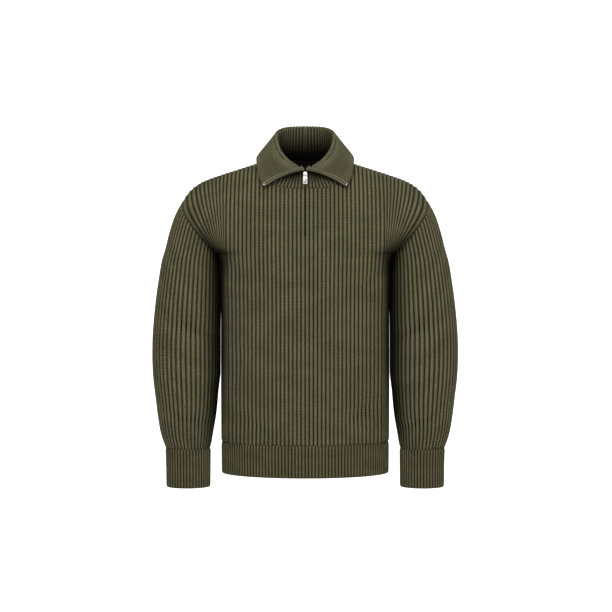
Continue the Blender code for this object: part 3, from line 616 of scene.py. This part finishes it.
SLEEVE_RIBS = 42
SLEEVE_ROWS = 96
BODY_CLEARANCE = 1.5 * MM       # room left between the sleeve's fullness and the body
MOST_FULLNESS = 3.0 * MM
FULLNESS_END_Z = -505 * MM

def sleeve_grid(side, count, rows, top, bottom):
    """The sleeve's ovals: x = centre + half cos(turn), y = ahead - deep sin(turn), from top to bottom."""
    turn = np.linspace(0, 2 * math.pi, count)[None]
    start = armhole_z(turn) if top is None else top + 0 * turn
    z = start + (bottom - start) * np.linspace(0, 1, rows)[:, None]
    turn = turn + 0 * z
    x = sleeve("centre", z) + sleeve("half", z) * np.cos(turn)
    y = sleeve("ahead", z) - sleeve("deep", z) * np.sin(turn)
    return np.stack([x * side, y, z], -1), turn


def sleeve_creases(side):
    """Soft creases: from (round, z) to (round, z) and width, in metres, then depth in millimetres.

    Round is 0 beside the body and 0.2 half a turn on.
    """
    return (((0.03, -0.30), (0.12, -0.345), 0.016, 2.4), ((-0.04, -0.385), (-0.13, -0.35), 0.018, 2.6),
            ((-0.13, -0.555), (-0.02, -0.585 - 0.008 * side), 0.012, 3.0),
            ((0.14, -0.57), (0.03, -0.60 + 0.006 * side), 0.012, 2.6),
            ((0.06, -0.50), (0.15, -0.46), 0.016, 2.0))


for label, side in (("left", 1), ("right", -1)):
    grid, turn = sleeve_grid(side, SLEEVE_RIBS * PER_RIB + 1, SLEEVE_ROWS, None, CUFF_TOP_Z)
    u = turn / (2 * math.pi) * SLEEVE_RIBS
    down = run(grid, 0)
    z = grid[..., 2]
    round_x = (turn - math.pi) / math.pi * 0.2
    relief = rib(u, RIB_DEPTH) + tuck(down[-1] - down, 1.4 * MM, 9 * MM)
    for begin, end, width, depth in sleeve_creases(side):
        relief += trough(round_x, z, begin, end, width, depth * MM)

    # The sleeve fills out toward the body, and painted shade darkens its side toward the body; its lining is
    # painted near black
    toward_body = np.exp(-(((turn - math.pi) / 0.75) ** 2))
    room = sleeve("centre", z) - sleeve("half", z) - body("side", z) - BODY_CLEARANCE
    room = np.clip(room, 0, MOST_FULLNESS) * np.clip((z - FULLNESS_END_Z) / (40 * MM), 0, 1)
    relief += room * toward_body
    shade_toward_body = np.exp(-(((turn - math.pi) / 0.80) ** 4)) * np.clip((z + 700 * MM) / (160 * MM), 0.3, 1)
    edge = at_seam(np.minimum(down, down[-1] - down))
    relief = relief * (1 - edge) - SEAM_TUCK * edge
    normal = side * normals(grid, True)
    turns = np.concatenate([front_shared[side][0][::-1], back_shared[side][0][1:]])
    links = np.concatenate([front_shared[side][1][::-1], back_shared[side][1][1:]])
    link = np.stack([np.interp(turn[0], turns, links[:, k]) for k in range(3)], -1)
    lean = at_seam(down, 6 * MM)[..., None]
    normal = unit(normal * (1 - lean) + unit(link)[None] * lean)
    uv = np.stack([u, -down / COURSE], -1)
    piece = knit_piece("sleeve_" + label + "_knit", grid, normal, relief,
                       rib(u + 0.5, BODY_LINING), uv, closed=True, painted_light=(1 - 0.95 * shade_toward_body, 0.1))
    sew_on(piece, chunky_rib, "sleeve_" + label)


# ---- Cuffs ------------------------------------------------------------------------------------------
# Two tubes in the fine rib, of one layer, linked to the sleeves' lower edges. Their lower edges are left
# free and open at the wrist, and roll in a little.

CUFF_RIBS = 44
CUFF_ROWS = 28
for label, side in (("left", 1), ("right", -1)):
    grid, turn = sleeve_grid(side, CUFF_RIBS * PER_FINE_RIB + 1, CUFF_ROWS, CUFF_TOP_Z, CUFF_Z)
    u = turn / (2 * math.pi) * CUFF_RIBS
    down = run(grid, 0)
    relief = band_relief(grid[::-1], u, True)[::-1]
    uv = np.stack([u, -down / FINE_COURSE], -1)
    piece = knit_piece("cuff_" + label + "_knit", grid, side * normals(grid, True), relief,
                       rib(u + 0.5, BAND_LINING), uv, closed=True)
    sew_on(piece, band_rib_painted_darker, "cuff_" + label)


# ---- Collar -----------------------------------------------------------------------------------------
# One high piece in the fine rib, linked round the neck. It stands, rolls over, and its two open front
# edges fall apart from the zip's slider as pointed flaps. The side that shows on the flaps is its inside.

FOLD_RADIUS = 3.0 * MM
FOLD_STEPS = 8                  # grid steps round the fold's half circle
FOLD_WALL = 3.6 * MM            # the cloth over the fold's circle
COLLAR_BOW = 5.0 * MM           # how far the fall bows out between fold and free edge
FLAP_LIFT = 6.5 * MM            # how far the front edges arch up
# The body's yarn painted lighter for the collar and facings: painted light, as they sit nearest the light
# above
collar_rib_painted_lighter = knit_material("olive collar rib knit painted lighter", (0.166, 0.160, 0.093), (0.0060, 0.0056, 0.0032))

# From the centre front (0) to the centre back (1), in millimetres: x, y, z of the top of the fold, then
# x, y, z of the free edge
COLLAR = np.array([
    (0.00, 1.0, -100, -26, 85, -96, -67), (0.03, 9.8, -98, -24, 90, -92, -60),
    (0.10, 20, -93, -17, 94, -86, -54), (0.20, 35, -81, -6, 97.5, -78, -46),
    (0.30, 47, -63, 8, 101, -67, -35), (0.40, 55.5, -42, 24, 104, -53, -20),
    (0.50, 60, -18, 40, 105, -28, -4.4), (0.60, 62.5, 8, 56, 105.5, 6, 5.7),
    (0.70, 61, 34, 70.5, 99.5, 45, 1.4), (0.85, 40, 61, 83.5, 62, 84, -5),
    (1.00, 0, 71, 87, 0, 99, -7)], float)
FOLD_COLUMNS = (1, 2, 3)
EDGE_COLUMNS = (4, 5, 6)


def neck_curve(count):
    """The neck seam from centre front to centre back, its points evenly spaced along it."""
    angle = np.linspace(math.asin(SLIT_HALF / NECK_HALF_WIDTH), math.pi / 2, 400)
    x = NECK_HALF_WIDTH * np.sin(angle)
    ahead = np.stack([x, -body_depth(x, neckline_z(x, "front"), "front"), neckline_z(x, "front")], -1)
    angle = np.linspace(math.pi / 2, 0, 400)[1:]
    x = NECK_HALF_WIDTH * np.sin(angle)
    behind = np.stack([x, body_depth(x, neckline_z(x, "back"), "back"), neckline_z(x, "back")], -1)
    curve = np.concatenate([ahead, behind])
    length = np.concatenate([[0], np.cumsum(np.linalg.norm(np.diff(curve, axis=0), axis=1))])
    at = np.linspace(0, length[-1], count)
    return np.stack([np.interp(at, length, curve[:, k]) for k in range(3)], -1)


def collar_half(base, stand_rows, fall_rows):
    """Half the collar: up the stand, half round the fold's circle, then down the fall with its bow."""
    step = np.linalg.norm(np.diff(base, axis=0), axis=1)
    at = np.concatenate([[0], np.cumsum(step)]) / step.sum()
    fold = np.stack([read(COLLAR, k, at) for k in FOLD_COLUMNS], -1) * MM
    edge = np.stack([read(COLLAR, k, at) for k in EDGE_COLUMNS], -1) * MM
    along = np.gradient(fold, at, axis=0)
    along[[0, -1], 1] = 0
    out = np.stack([along[:, 1], -along[:, 0], 0 * at], -1)
    out /= np.linalg.norm(out, axis=1)[:, None]
    centre = fold - UP * (FOLD_WALL + FOLD_RADIUS)
    inner, outer = centre - out * FOLD_RADIUS, centre + out * FOLD_RADIUS
    lift = FLAP_LIFT * np.clip(1 - at / 0.3, 0, 1)[:, None] * UP
    rows = [base * (1 - t) + inner * t for t in np.linspace(0, 1, stand_rows)[:-1]]
    for turn in np.linspace(math.pi, 0, FOLD_STEPS + 1)[:-1]:
        rows.append(centre + (out * math.cos(turn) + UP * math.sin(turn)) * FOLD_RADIUS)
    for t in np.linspace(0, 1, fall_rows):
        bow = 4 * t * (1 - t)
        rows.append(outer * (1 - t) + edge * t + bow * (lift + out * COLLAR_BOW * (0.4 + 0.6 * at[:, None])))
    return np.array(rows), stand_rows + FOLD_STEPS - 1


COLLAR_HALF_RIBS = 40
OUTSIDE_DEPTH = 1.6 * MM
INSIDE_DEPTH = 2.6 * MM
STAND_ROWS, FALL_ROWS = 14, 26
neck_seam = neck_curve(COLLAR_HALF_RIBS * PER_FINE_RIB + 1)
half, fold_end = collar_half(neck_seam, STAND_ROWS, FALL_ROWS)
collar_grid = np.concatenate([half, half[:, ::-1][:, 1:] * np.array([-1, 1, 1])], 1)
collar_u = (np.abs(np.linspace(-COLLAR_HALF_RIBS, COLLAR_HALF_RIBS, collar_grid.shape[1]))[None]
            + np.zeros((len(collar_grid), 1)))
collar_normal = normals(collar_grid)
collar_normal[:fold_end, [0, -1], 0] = 0
collar_normal /= np.linalg.norm(collar_normal, axis=-1)[..., None]
up = run(collar_grid, 0)
from_front = COLLAR_HALF_RIBS - collar_u
outside = rib(collar_u + 0.5, OUTSIDE_DEPTH) + tuck(up)

# Rows counted from the neck seam (0) to the end of the fold (1) and the free edge (2.19). The ribs of the
# inside are stretched smooth over the roll and along the flap's outer edge, but not at the back.
row = np.arange(len(collar_grid))[:, None] / fold_end
smooth_roll = np.interp(row, [0.70, 0.95, 1.12, 1.40, 1.85, 2.19], [1, 0.25, 0.35, 1, 1, 0.5])
on_flap = np.clip((30 - from_front) / 8, 0, 1)
rolled = 1 - (1 - smooth_roll) * on_flap
inside = rib(collar_u, INSIDE_DEPTH) * rolled * np.clip(from_front / 1.5, 0, 1)
inside = inside + tuck(up[-1] - up, 1.0 * MM, 3 * MM)
collar_uv = np.stack([collar_u, up / FINE_COURSE], -1)

# Painted shade: darker down inside the neck, in the grooves in the middle of each flap, and on the stand
# under the flaps
depth = np.clip((collar_grid[..., 2].max() - collar_grid[..., 2]) / (150 * MM), 0, 1)
inside_painted_light = np.where(row < 0.8, np.clip(0.92 - 2.2 * depth, 0.01, 1) ** 1.5, 1.0)
rib_groove = 0.5 + 0.5 * np.cos(2 * math.pi * collar_u)
flap_middle = np.interp(row, [1.12, 1.35, 1.75, 2.05], [0, 1, 1, 0])
flap_middle = flap_middle * np.clip((from_front - 2) / 3, 0, 1) * on_flap
inside_painted_light = inside_painted_light * (1 - 0.80 * flap_middle * rib_groove)
# Painted shade on the stand under the flaps and on the underside of the fall
shut_in = 1.2 + 0.9 * np.clip(from_front / 4, 0, 1)
outside_painted_light = np.where(row < 1, np.clip(1.0 - shut_in * row, 0.04, 1) * 0.82, 0.4)
collar_piece = knit_piece("collar_knit", collar_grid, collar_normal, outside, inside, collar_uv,
                          painted_light=(outside_painted_light, inside_painted_light))
sew_on(collar_piece, collar_rib_painted_lighter, "collar")


# ---- Zip --------------------------------------------------------------------------------------------
# A metal zip on two taupe woven tapes, sewn inside the front opening and up the collar's front edges,
# under a narrow knitted facing. Closed to just below the fold, where its slider and pull tab hang.

tape_weave = bpy.data.materials.new("taupe twill tape")
tape_weave.use_nodes = True
weave_shader = tape_weave.node_tree.nodes["Principled BSDF"]
weave_shader.inputs["Roughness"].default_value = 0.85
weave_shader.inputs["Specular IOR Level"].default_value = 0.2
weave_place = tape_weave.node_tree.nodes.new("ShaderNodeUVMap")
weave_place.uv_map = "knit"
weave_fleck = noise_node(tape_weave.node_tree, weave_place.outputs[0], 1.4, 2.0)
tape_weave.node_tree.links.new(
    mix_colour(tape_weave.node_tree, weave_fleck, (0.085, 0.066, 0.050), (0.150, 0.118, 0.092)),
    weave_shader.inputs["Base Color"])


def metal(name, colour, roughness):
    """A plain metal finish of one colour and roughness."""
    made = bpy.data.materials.new(name)
    made.use_nodes = True
    shader = made.node_tree.nodes["Principled BSDF"]
    shader.inputs["Base Color"].default_value = (*colour, 1.0)
    shader.inputs["Metallic"].default_value = 1.0
    shader.inputs["Roughness"].default_value = roughness
    return made


nickel = metal("polished nickel", (0.60, 0.59, 0.57), 0.34)
# Painted shade: the slider's nickel made dark for the teeth, which sit deep in the slit
tooth_metal = metal("shaded tooth nickel", (0.06, 0.045, 0.035), 0.45)

TAPE_NEAR, TAPE_FAR = 1.6, 6.6      # the tape's edges, in grid steps in from the cloth's edge
TAPE_LIFT = 0.6 * MM
TAPE_THICK = 0.7 * MM
FACING_NEAR, FACING_FAR = 4.5, 8.3
FACING_LIFT = 1.2 * MM
FACING_THICK = 0.8 * MM
FACING_BULGE = 2.0 * MM
BESIDE_STEPS = 12                   # grid steps that are read beside the zip
open_row = int(np.argmax(front_grid[:, middle, 2] > PLACKET_END_Z))


def beside(grid, step):
    """The line of a grid's points a given number of steps in from its first column."""
    whole = int(step)
    return grid[:, whole] * (whole + 1 - step) + grid[:, whole + 1] * (step - whole)


def zip_side(side):
    """Lining points and normals beside the zip on one side, from the placket's end up over the collar."""
    if side > 0:
        panel, panel_normal = front_grid[open_row:, middle + 1:], front_normal[open_row:, middle + 1:]
        band, band_normal = collar_grid, collar_normal
    else:
        panel, panel_normal = front_grid[open_row:, middle::-1], front_normal[open_row:, middle::-1]
        band, band_normal = collar_grid[:, ::-1], collar_normal[:, ::-1]
    points = np.concatenate([panel[:, :BESIDE_STEPS], band[1:, :BESIDE_STEPS]])
    normal = np.concatenate([panel_normal[:, :BESIDE_STEPS], band_normal[1:, :BESIDE_STEPS]])
    return points - WALL * normal, normal


def strip_piece(name, points, normal, steps, lift, thick, bulge=0.0):
    """A strip on the lining between steps, lifted off it, thick, with its face bulged as 1 - w^2."""
    across = np.linspace(-1, 1, len(steps))
    line = np.stack([beside(points, k) for k in steps], 1)
    out = -unit(np.stack([beside(normal, k) for k in steps], 1))
    near = line + out * lift
    far = near + out * (thick + bulge * (1 - across**2))[None, :, None]
    rows, columns = near.shape[:2]
    index = np.arange(rows * columns).reshape(rows, columns)
    quads = np.stack([index[:-1, :-1], index[:-1, 1:], index[1:, 1:], index[1:, :-1]], -1).reshape(-1, 4)
    loop = np.concatenate([index[0], index[1:, -1], index[-1, -2::-1], index[-2:0:-1, 0]])
    rim = np.stack([loop, np.roll(loop, -1), np.roll(loop, -1) + rows * columns, loop + rows * columns], -1)
    polygons = np.concatenate([quads[:, ::-1], quads + rows * columns, rim])
    mesh = bpy.data.meshes.new(name)
    both_faces = np.concatenate([near.reshape(-1, 3), far.reshape(-1, 3)])
    mesh.from_pydata(both_faces.tolist(), [], polygons.tolist())
    along = run(near, 0)
    place = np.stack([across[None] * 0.3 + 0.5 + 0 * along, along / FINE_COURSE], -1).reshape(-1, 2)
    corners = np.concatenate([place] * 2)[polygons.reshape(-1)]
    layer = mesh.uv_layers.new(name="knit")
    layer.data.foreach_set("uv", corners.astype(np.float32).reshape(-1))
    # No painted shade on the strips
    seen = mesh.attributes.new("painted_ambient_light", "FLOAT", "POINT")
    seen.data.foreach_set("value", np.ones(2 * rows * columns, np.float32))
    fixer = bmesh.new()
    fixer.from_mesh(mesh)
    bmesh.ops.recalc_face_normals(fixer, faces=fixer.faces)
    fixer.to_mesh(mesh)
    fixer.free()
    mesh.shade_smooth()
    mesh.set_sharp_from_angle(angle=math.radians(50))
    thing = bpy.data.objects.new(name, mesh)
    bpy.context.scene.collection.objects.link(thing)
    return thing


def add_block(model, centre, size, bevel, turn=None):
    """A box with rounded edges, turned about its centre if asked."""
    made = bmesh.ops.create_cube(model, size=1.0)["verts"]
    bmesh.ops.scale(model, verts=made, vec=size)
    edges = list({edge for vert in made for edge in vert.link_edges})
    rounded = bmesh.ops.bevel(model, geom=edges, offset=bevel, segments=2, profile=0.6, affect="EDGES")
    block = list({vert for face in rounded["faces"] for vert in face.verts})
    if turn is not None:
        bmesh.ops.transform(model, verts=block, matrix=turn)
    bmesh.ops.translate(model, verts=block, vec=centre)


def mesh_piece(name, model):
    """An object from a bmesh model, shaded smooth but for edges over 40 degrees."""
    mesh = bpy.data.meshes.new(name)
    model.to_mesh(mesh)
    model.free()
    mesh.shade_smooth()
    mesh.set_sharp_from_angle(angle=math.radians(40))
    thing = bpy.data.objects.new(name, mesh)
    bpy.context.scene.collection.objects.link(thing)
    return thing


TOOTH = (1.5 * MM, 1.1 * MM, 0.9 * MM)
TOOTH_PITCH = 1.7 * MM
TOOTH_LIFT = 1.6 * MM           # from the cloth's inner side to a tooth's middle
BARE_END = 4 * MM               # tape past the last tooth, where the top stop is clamped on
CLOSED_TOOTH = (2.4 * MM, 1.4 * MM, 0.7 * MM)
CLOSED_PITCH = 0.9 * MM
CLOSED_STAGGER = 0.55 * MM
TOP_STOP = (3.2 * MM, 2.2 * MM, 3.4 * MM)
teeth = bmesh.new()
slider_low, slider_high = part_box("zip_slider")
for label, side in (("left", 1), ("right", -1)):
    points, normal = zip_side(side)
    tape = strip_piece("tape_" + label, points, normal, np.linspace(TAPE_NEAR, TAPE_FAR, 5),
                       TAPE_LIFT, TAPE_THICK)
    sew_on(tape, tape_weave, "zip_tape_" + label)
    above = points[:, 0, 2] > slider_high.z - 2 * MM
    first = int(np.argmax(above))
    facing = strip_piece("facing_" + label, points[first:], normal[first:],
                         np.linspace(FACING_NEAR, FACING_FAR, 7), FACING_LIFT, FACING_THICK, FACING_BULGE)
    sew_on(facing, collar_rib_painted_lighter)
    line = beside(points, FACING_NEAR - 0.5) - beside(normal, FACING_NEAR - 0.5) * TOOTH_LIFT
    length = np.concatenate([[0], np.cumsum(np.linalg.norm(np.diff(line, axis=0), axis=1))])
    last = length[-1] - BARE_END
    for at in np.arange(length[first], last, TOOTH_PITCH):
        place = Vector([float(np.interp(at, length, line[:, k])) for k in range(3)])
        ahead = Vector([float(np.interp(at + MM, length, line[:, k])) for k in range(3)])
        turn = (ahead - place).to_track_quat("Z", "Y").to_matrix().to_4x4()
        add_block(teeth, place, TOOTH, 0.2 * MM, turn)
    stop = bmesh.new()
    place = Vector([float(np.interp(last + 1.5 * MM, length, line[:, k])) for k in range(3)])
    add_block(stop, place, TOP_STOP, 0.9 * MM, turn)
    sew_on(mesh_piece("top_stop_" + label, stop), nickel, "zip_top_stop_" + label)

# Closed teeth behind the opening: the two sides' teeth take turns
chain_line = front_grid[open_row:, middle] - WALL * front_normal[open_row:, middle]
stand_line = (collar_grid - WALL * collar_normal)[:STAND_ROWS - 1, 0]
chain_line = np.concatenate([chain_line, stand_line[1:]])
for n, z in enumerate(np.arange(chain_line[0, 2] + 2 * MM, slider_low.z, CLOSED_PITCH)):
    y = float(np.interp(z, chain_line[:, 2], chain_line[:, 1])) + TOOTH_LIFT
    add_block(teeth, Vector((CLOSED_STAGGER * (-1) ** n, y, z)), CLOSED_TOOTH, 0.15 * MM)
sew_on(mesh_piece("zip_teeth", teeth), tooth_metal, "zip_chain")

# Slider: two plates with a neck between, and a bridge that the pull hangs from
SLIDER_PLATE = (8.4 * MM, 1.5 * MM, 9.8 * MM)
PLATE_EDGE = 0.65 * MM
BRIDGE_LEG = (2.1 * MM, 2.6 * MM, 1.0 * MM)
BRIDGE_BAR = (2.1 * MM, 1.0 * MM, 7.3 * MM)
BRIDGE_REACH = 2.8 * MM
LEG_OFFSET = 3.2 * MM           # the bridge's legs above and below the slider's middle
slider_z = (slider_low.z + slider_high.z) / 2
slider = bmesh.new()
plate_back = slider_high.y - 0.8 * MM
plate_front = slider_low.y + BRIDGE_REACH + 0.8 * MM
for plate_y in (plate_front, plate_back):
    add_block(slider, Vector((0, plate_y, slider_z)), SLIDER_PLATE, PLATE_EDGE)
neck = (1.0 * MM, plate_back - plate_front, 2.4 * MM)
add_block(slider, Vector((0, (plate_front + plate_back) / 2, slider_z + 2.5 * MM)), neck, 0.2 * MM)
for offset in (-LEG_OFFSET, LEG_OFFSET):
    add_block(slider, Vector((0, plate_front - 1.9 * MM, slider_z + offset)), BRIDGE_LEG, 0.3 * MM)
add_block(slider, Vector((0, slider_low.y + 0.55 * MM, slider_z)), BRIDGE_BAR, 0.42 * MM)
sew_on(mesh_piece("slider", slider), nickel, "zip_slider")

# Pull: a flat tab stamped from sheet, with a window round the bridge's bar and a small slot at its end
TAB_HALF = 4.8 * MM
RING_HALF = 3.1 * MM
RING_HEIGHT = 5.2 * MM
TAB_EDGE = 0.28 * MM            # radius of the tab's rounded edges
pull_low, pull_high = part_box("zip_pull")
pull_y = (pull_low.y + pull_high.y) / 2
outline = bpy.data.curves.new("pull_tab", "CURVE")
outline.dimensions = "2D"
outline.fill_mode = "BOTH"
outline.extrude = 0.45 * MM
outline.bevel_depth = TAB_EDGE
outline.bevel_resolution = 2


def rounded_loop(x, low, high, corner, turn=1):
    """Points of a rounded rectangle, 5 round each corner, in the other direction for a hole."""
    found = []
    for k, (cx, cz) in enumerate(((x - corner, high - corner), (-x + corner, high - corner),
                                  (-x + corner, low + corner), (x - corner, low + corner))):
        for a in np.linspace(0, math.pi / 2, 5) + k * math.pi / 2:
            found.append((cx + corner * math.cos(a), cz + corner * math.sin(a)))
    return found[::turn]


top = pull_high.z - pull_low.z
shoulder = top - RING_HEIGHT
plate_loop = rounded_loop(TAB_HALF - TAB_EDGE, TAB_EDGE, shoulder, 1.3 * MM)
ring_loop = rounded_loop(RING_HALF - TAB_EDGE, shoulder - 2 * MM, top - TAB_EDGE, 1.2 * MM)
outer = plate_loop[-10:] + plate_loop[:4] + [(RING_HALF - TAB_EDGE, shoulder + 0.4 * MM)] + ring_loop[:10]
outer += [(-RING_HALF + TAB_EDGE, shoulder + 0.4 * MM)] + plate_loop[6:10]
window = rounded_loop(1.55 * MM + TAB_EDGE, shoulder + 0.2 * MM, top - 1.35 * MM - TAB_EDGE, 0.5 * MM, -1)
end_slot = rounded_loop(2.2 * MM + TAB_EDGE, 2.6 * MM - TAB_EDGE, 4.6 * MM + TAB_EDGE, 0.8 * MM, -1)
for loop_points in (outer, window, end_slot):
    spline = outline.splines.new("POLY")
    spline.points.add(len(loop_points) - 1)
    for point, (x, z) in zip(spline.points, loop_points):
        point.co = (x, z, 0, 1)
    spline.use_cyclic_u = True
tab = bpy.data.objects.new("pull_outline", outline)
bpy.context.scene.collection.objects.link(tab)
bpy.context.view_layer.update()
tab_mesh = bpy.data.meshes.new_from_object(tab)
bpy.data.objects.remove(tab, do_unlink=True)
place = np.zeros(len(tab_mesh.vertices) * 3)
tab_mesh.vertices.foreach_get("co", place)
place = place.reshape(-1, 3)
place = np.stack([place[:, 0], pull_y + place[:, 2], pull_low.z + place[:, 1]], -1)
tab_mesh.vertices.foreach_set("co", place.reshape(-1))
stamped = bmesh.new()
stamped.from_mesh(tab_mesh)
bmesh.ops.remove_doubles(stamped, verts=stamped.verts, dist=0.005 * MM)
bmesh.ops.recalc_face_normals(stamped, faces=stamped.faces)
sew_on(mesh_piece("pull_tab", stamped), nickel, "zip_pull", carrier="pull")


# ---- Neck label -------------------------------------------------------------------------------------
# A bare black woven label, cut from a dense satin tape and sewn flat inside the back neck, just under
# the collar's seam.

label_weave = bpy.data.materials.new("black woven label")
label_weave.use_nodes = True
label_shader = label_weave.node_tree.nodes["Principled BSDF"]
label_shader.inputs["Base Color"].default_value = (0.002, 0.002, 0.0025, 1)
label_shader.inputs["Roughness"].default_value = 0.7
label_shader.inputs["Specular IOR Level"].default_value = 0.02
LABEL_THICK = 0.8 * MM
LABEL_LIFT = 1.6 * MM
LABEL_HALF_STEPS = 18           # grid steps to each side of the centre
label_rows = slice(-9, -2)
centre = back_grid.shape[1] // 2
label_columns = slice(centre - LABEL_HALF_STEPS, centre + LABEL_HALF_STEPS + 1)
label_normal = back_normal[label_rows, label_columns]
spot = back_grid[label_rows, label_columns] - label_normal * (WALL + LABEL_LIFT)
label_uv = np.stack(np.meshgrid(np.arange(spot.shape[1]), np.arange(spot.shape[0])), -1) * 1.0
nothing = np.zeros(spot.shape[:2])
label_piece = knit_piece("woven_label", spot, label_normal, nothing, nothing - WALL + LABEL_THICK, label_uv)
sew_on(label_piece, label_weave, "neck_label")


# ---- Stage, light and camera ------------------------------------------------------------------------
# A pale paper sweep, seen as plain white, with softboxes in front, above and behind, and a long lens
# level with the middle of the sweater.

FLOOR_Z = -1.35
SWEEP_RADIUS = 1.5
SWEEP_BACK = 3.0                # where the floor starts to curve up
SWEEP_FRONT = -6.0
SWEEP_HALF_WIDTH = 7.0
SWEEP_TOP = 5.0
stage_material = bpy.data.materials.new("pale studio paper")
stage_material.use_nodes = True
paper = stage_material.node_tree.nodes["Principled BSDF"]
paper.inputs["Base Color"].default_value = (0.9, 0.9, 0.9, 1)
paper.inputs["Roughness"].default_value = 0.9
paper.inputs["Emission Color"].default_value = (1, 1, 1, 1)
seen_direct = stage_material.node_tree.nodes.new("ShaderNodeLightPath")
stage_material.node_tree.links.new(seen_direct.outputs["Is Camera Ray"], paper.inputs["Emission Strength"])
sweep = bmesh.new()
profile = [(SWEEP_FRONT, FLOOR_Z), (SWEEP_BACK, FLOOR_Z)]
profile += [(SWEEP_BACK + SWEEP_RADIUS * math.sin(a), FLOOR_Z + SWEEP_RADIUS * (1 - math.cos(a)))
            for a in np.linspace(0.1, math.pi / 2, 12)]
profile += [(SWEEP_BACK + SWEEP_RADIUS, SWEEP_TOP)]
strip = [[sweep.verts.new((x, y, z)) for x in (-SWEEP_HALF_WIDTH, SWEEP_HALF_WIDTH)] for y, z in profile]
for a, b in zip(strip, strip[1:]):
    sweep.faces.new([a[0], a[1], b[1], b[0]])
sweep_mesh = bpy.data.meshes.new("paper_sweep")
sweep.to_mesh(sweep_mesh)
sweep.free()
sweep_mesh.shade_smooth()
backdrop = bpy.data.objects.new("paper_sweep", sweep_mesh)
backdrop.data.materials.append(stage_material)
bpy.context.scene.collection.objects.link(backdrop)

world = bpy.data.worlds.new("studio")
bpy.context.scene.world = world
world.use_nodes = True
world.node_tree.nodes["Background"].inputs["Color"].default_value = (1, 1, 1, 1)
seen_sky = world.node_tree.nodes.new("ShaderNodeLightPath")
sky = math_node(world.node_tree, "MULTIPLY_ADD", seen_sky.outputs["Is Camera Ray"], 0.78, 0.22)
world.node_tree.links.new(sky, world.node_tree.nodes["Background"].inputs["Strength"])


def soft_light(name, place, aim, size, power):
    """A rectangular softbox at a place, turned to face its aim."""
    lamp = bpy.data.lights.new(name, "AREA")
    lamp.shape = "RECTANGLE"
    lamp.size, lamp.size_y = size
    lamp.energy = power
    made = bpy.data.objects.new(name, lamp)
    made.location = place
    made.rotation_euler = (Vector(aim) - Vector(place)).to_track_quat("-Z", "Y").to_euler()
    bpy.context.scene.collection.objects.link(made)


soft_light("key_softbox", (-0.6, -2.7, 1.5), (0, 0, -0.3), (1.8, 1.4), 85)
soft_light("fill_softbox", (1.5, -2.5, 0.6), (0, 0, -0.35), (1.6, 1.6), 34)
soft_light("top_softbox", (0, -0.5, 2.2), (0, 0, -0.1), (1.6, 1.0), 22)
soft_light("rear_softbox", (0.5, 2.6, 0.9), (0, 0, -0.35), (1.8, 1.6), 70)

camera_data = bpy.data.cameras.new("camera")
camera_data.sensor_width = 36
camera_data.lens = 80.2
camera = bpy.data.objects.new("camera", camera_data)
camera.location = (0.0018, -3.0, -0.319)
camera.rotation_euler = (math.pi / 2, 0, 0)
bpy.context.scene.collection.objects.link(camera)
bpy.context.scene.camera = camera
bpy.context.scene.view_settings.view_transform = "Standard"
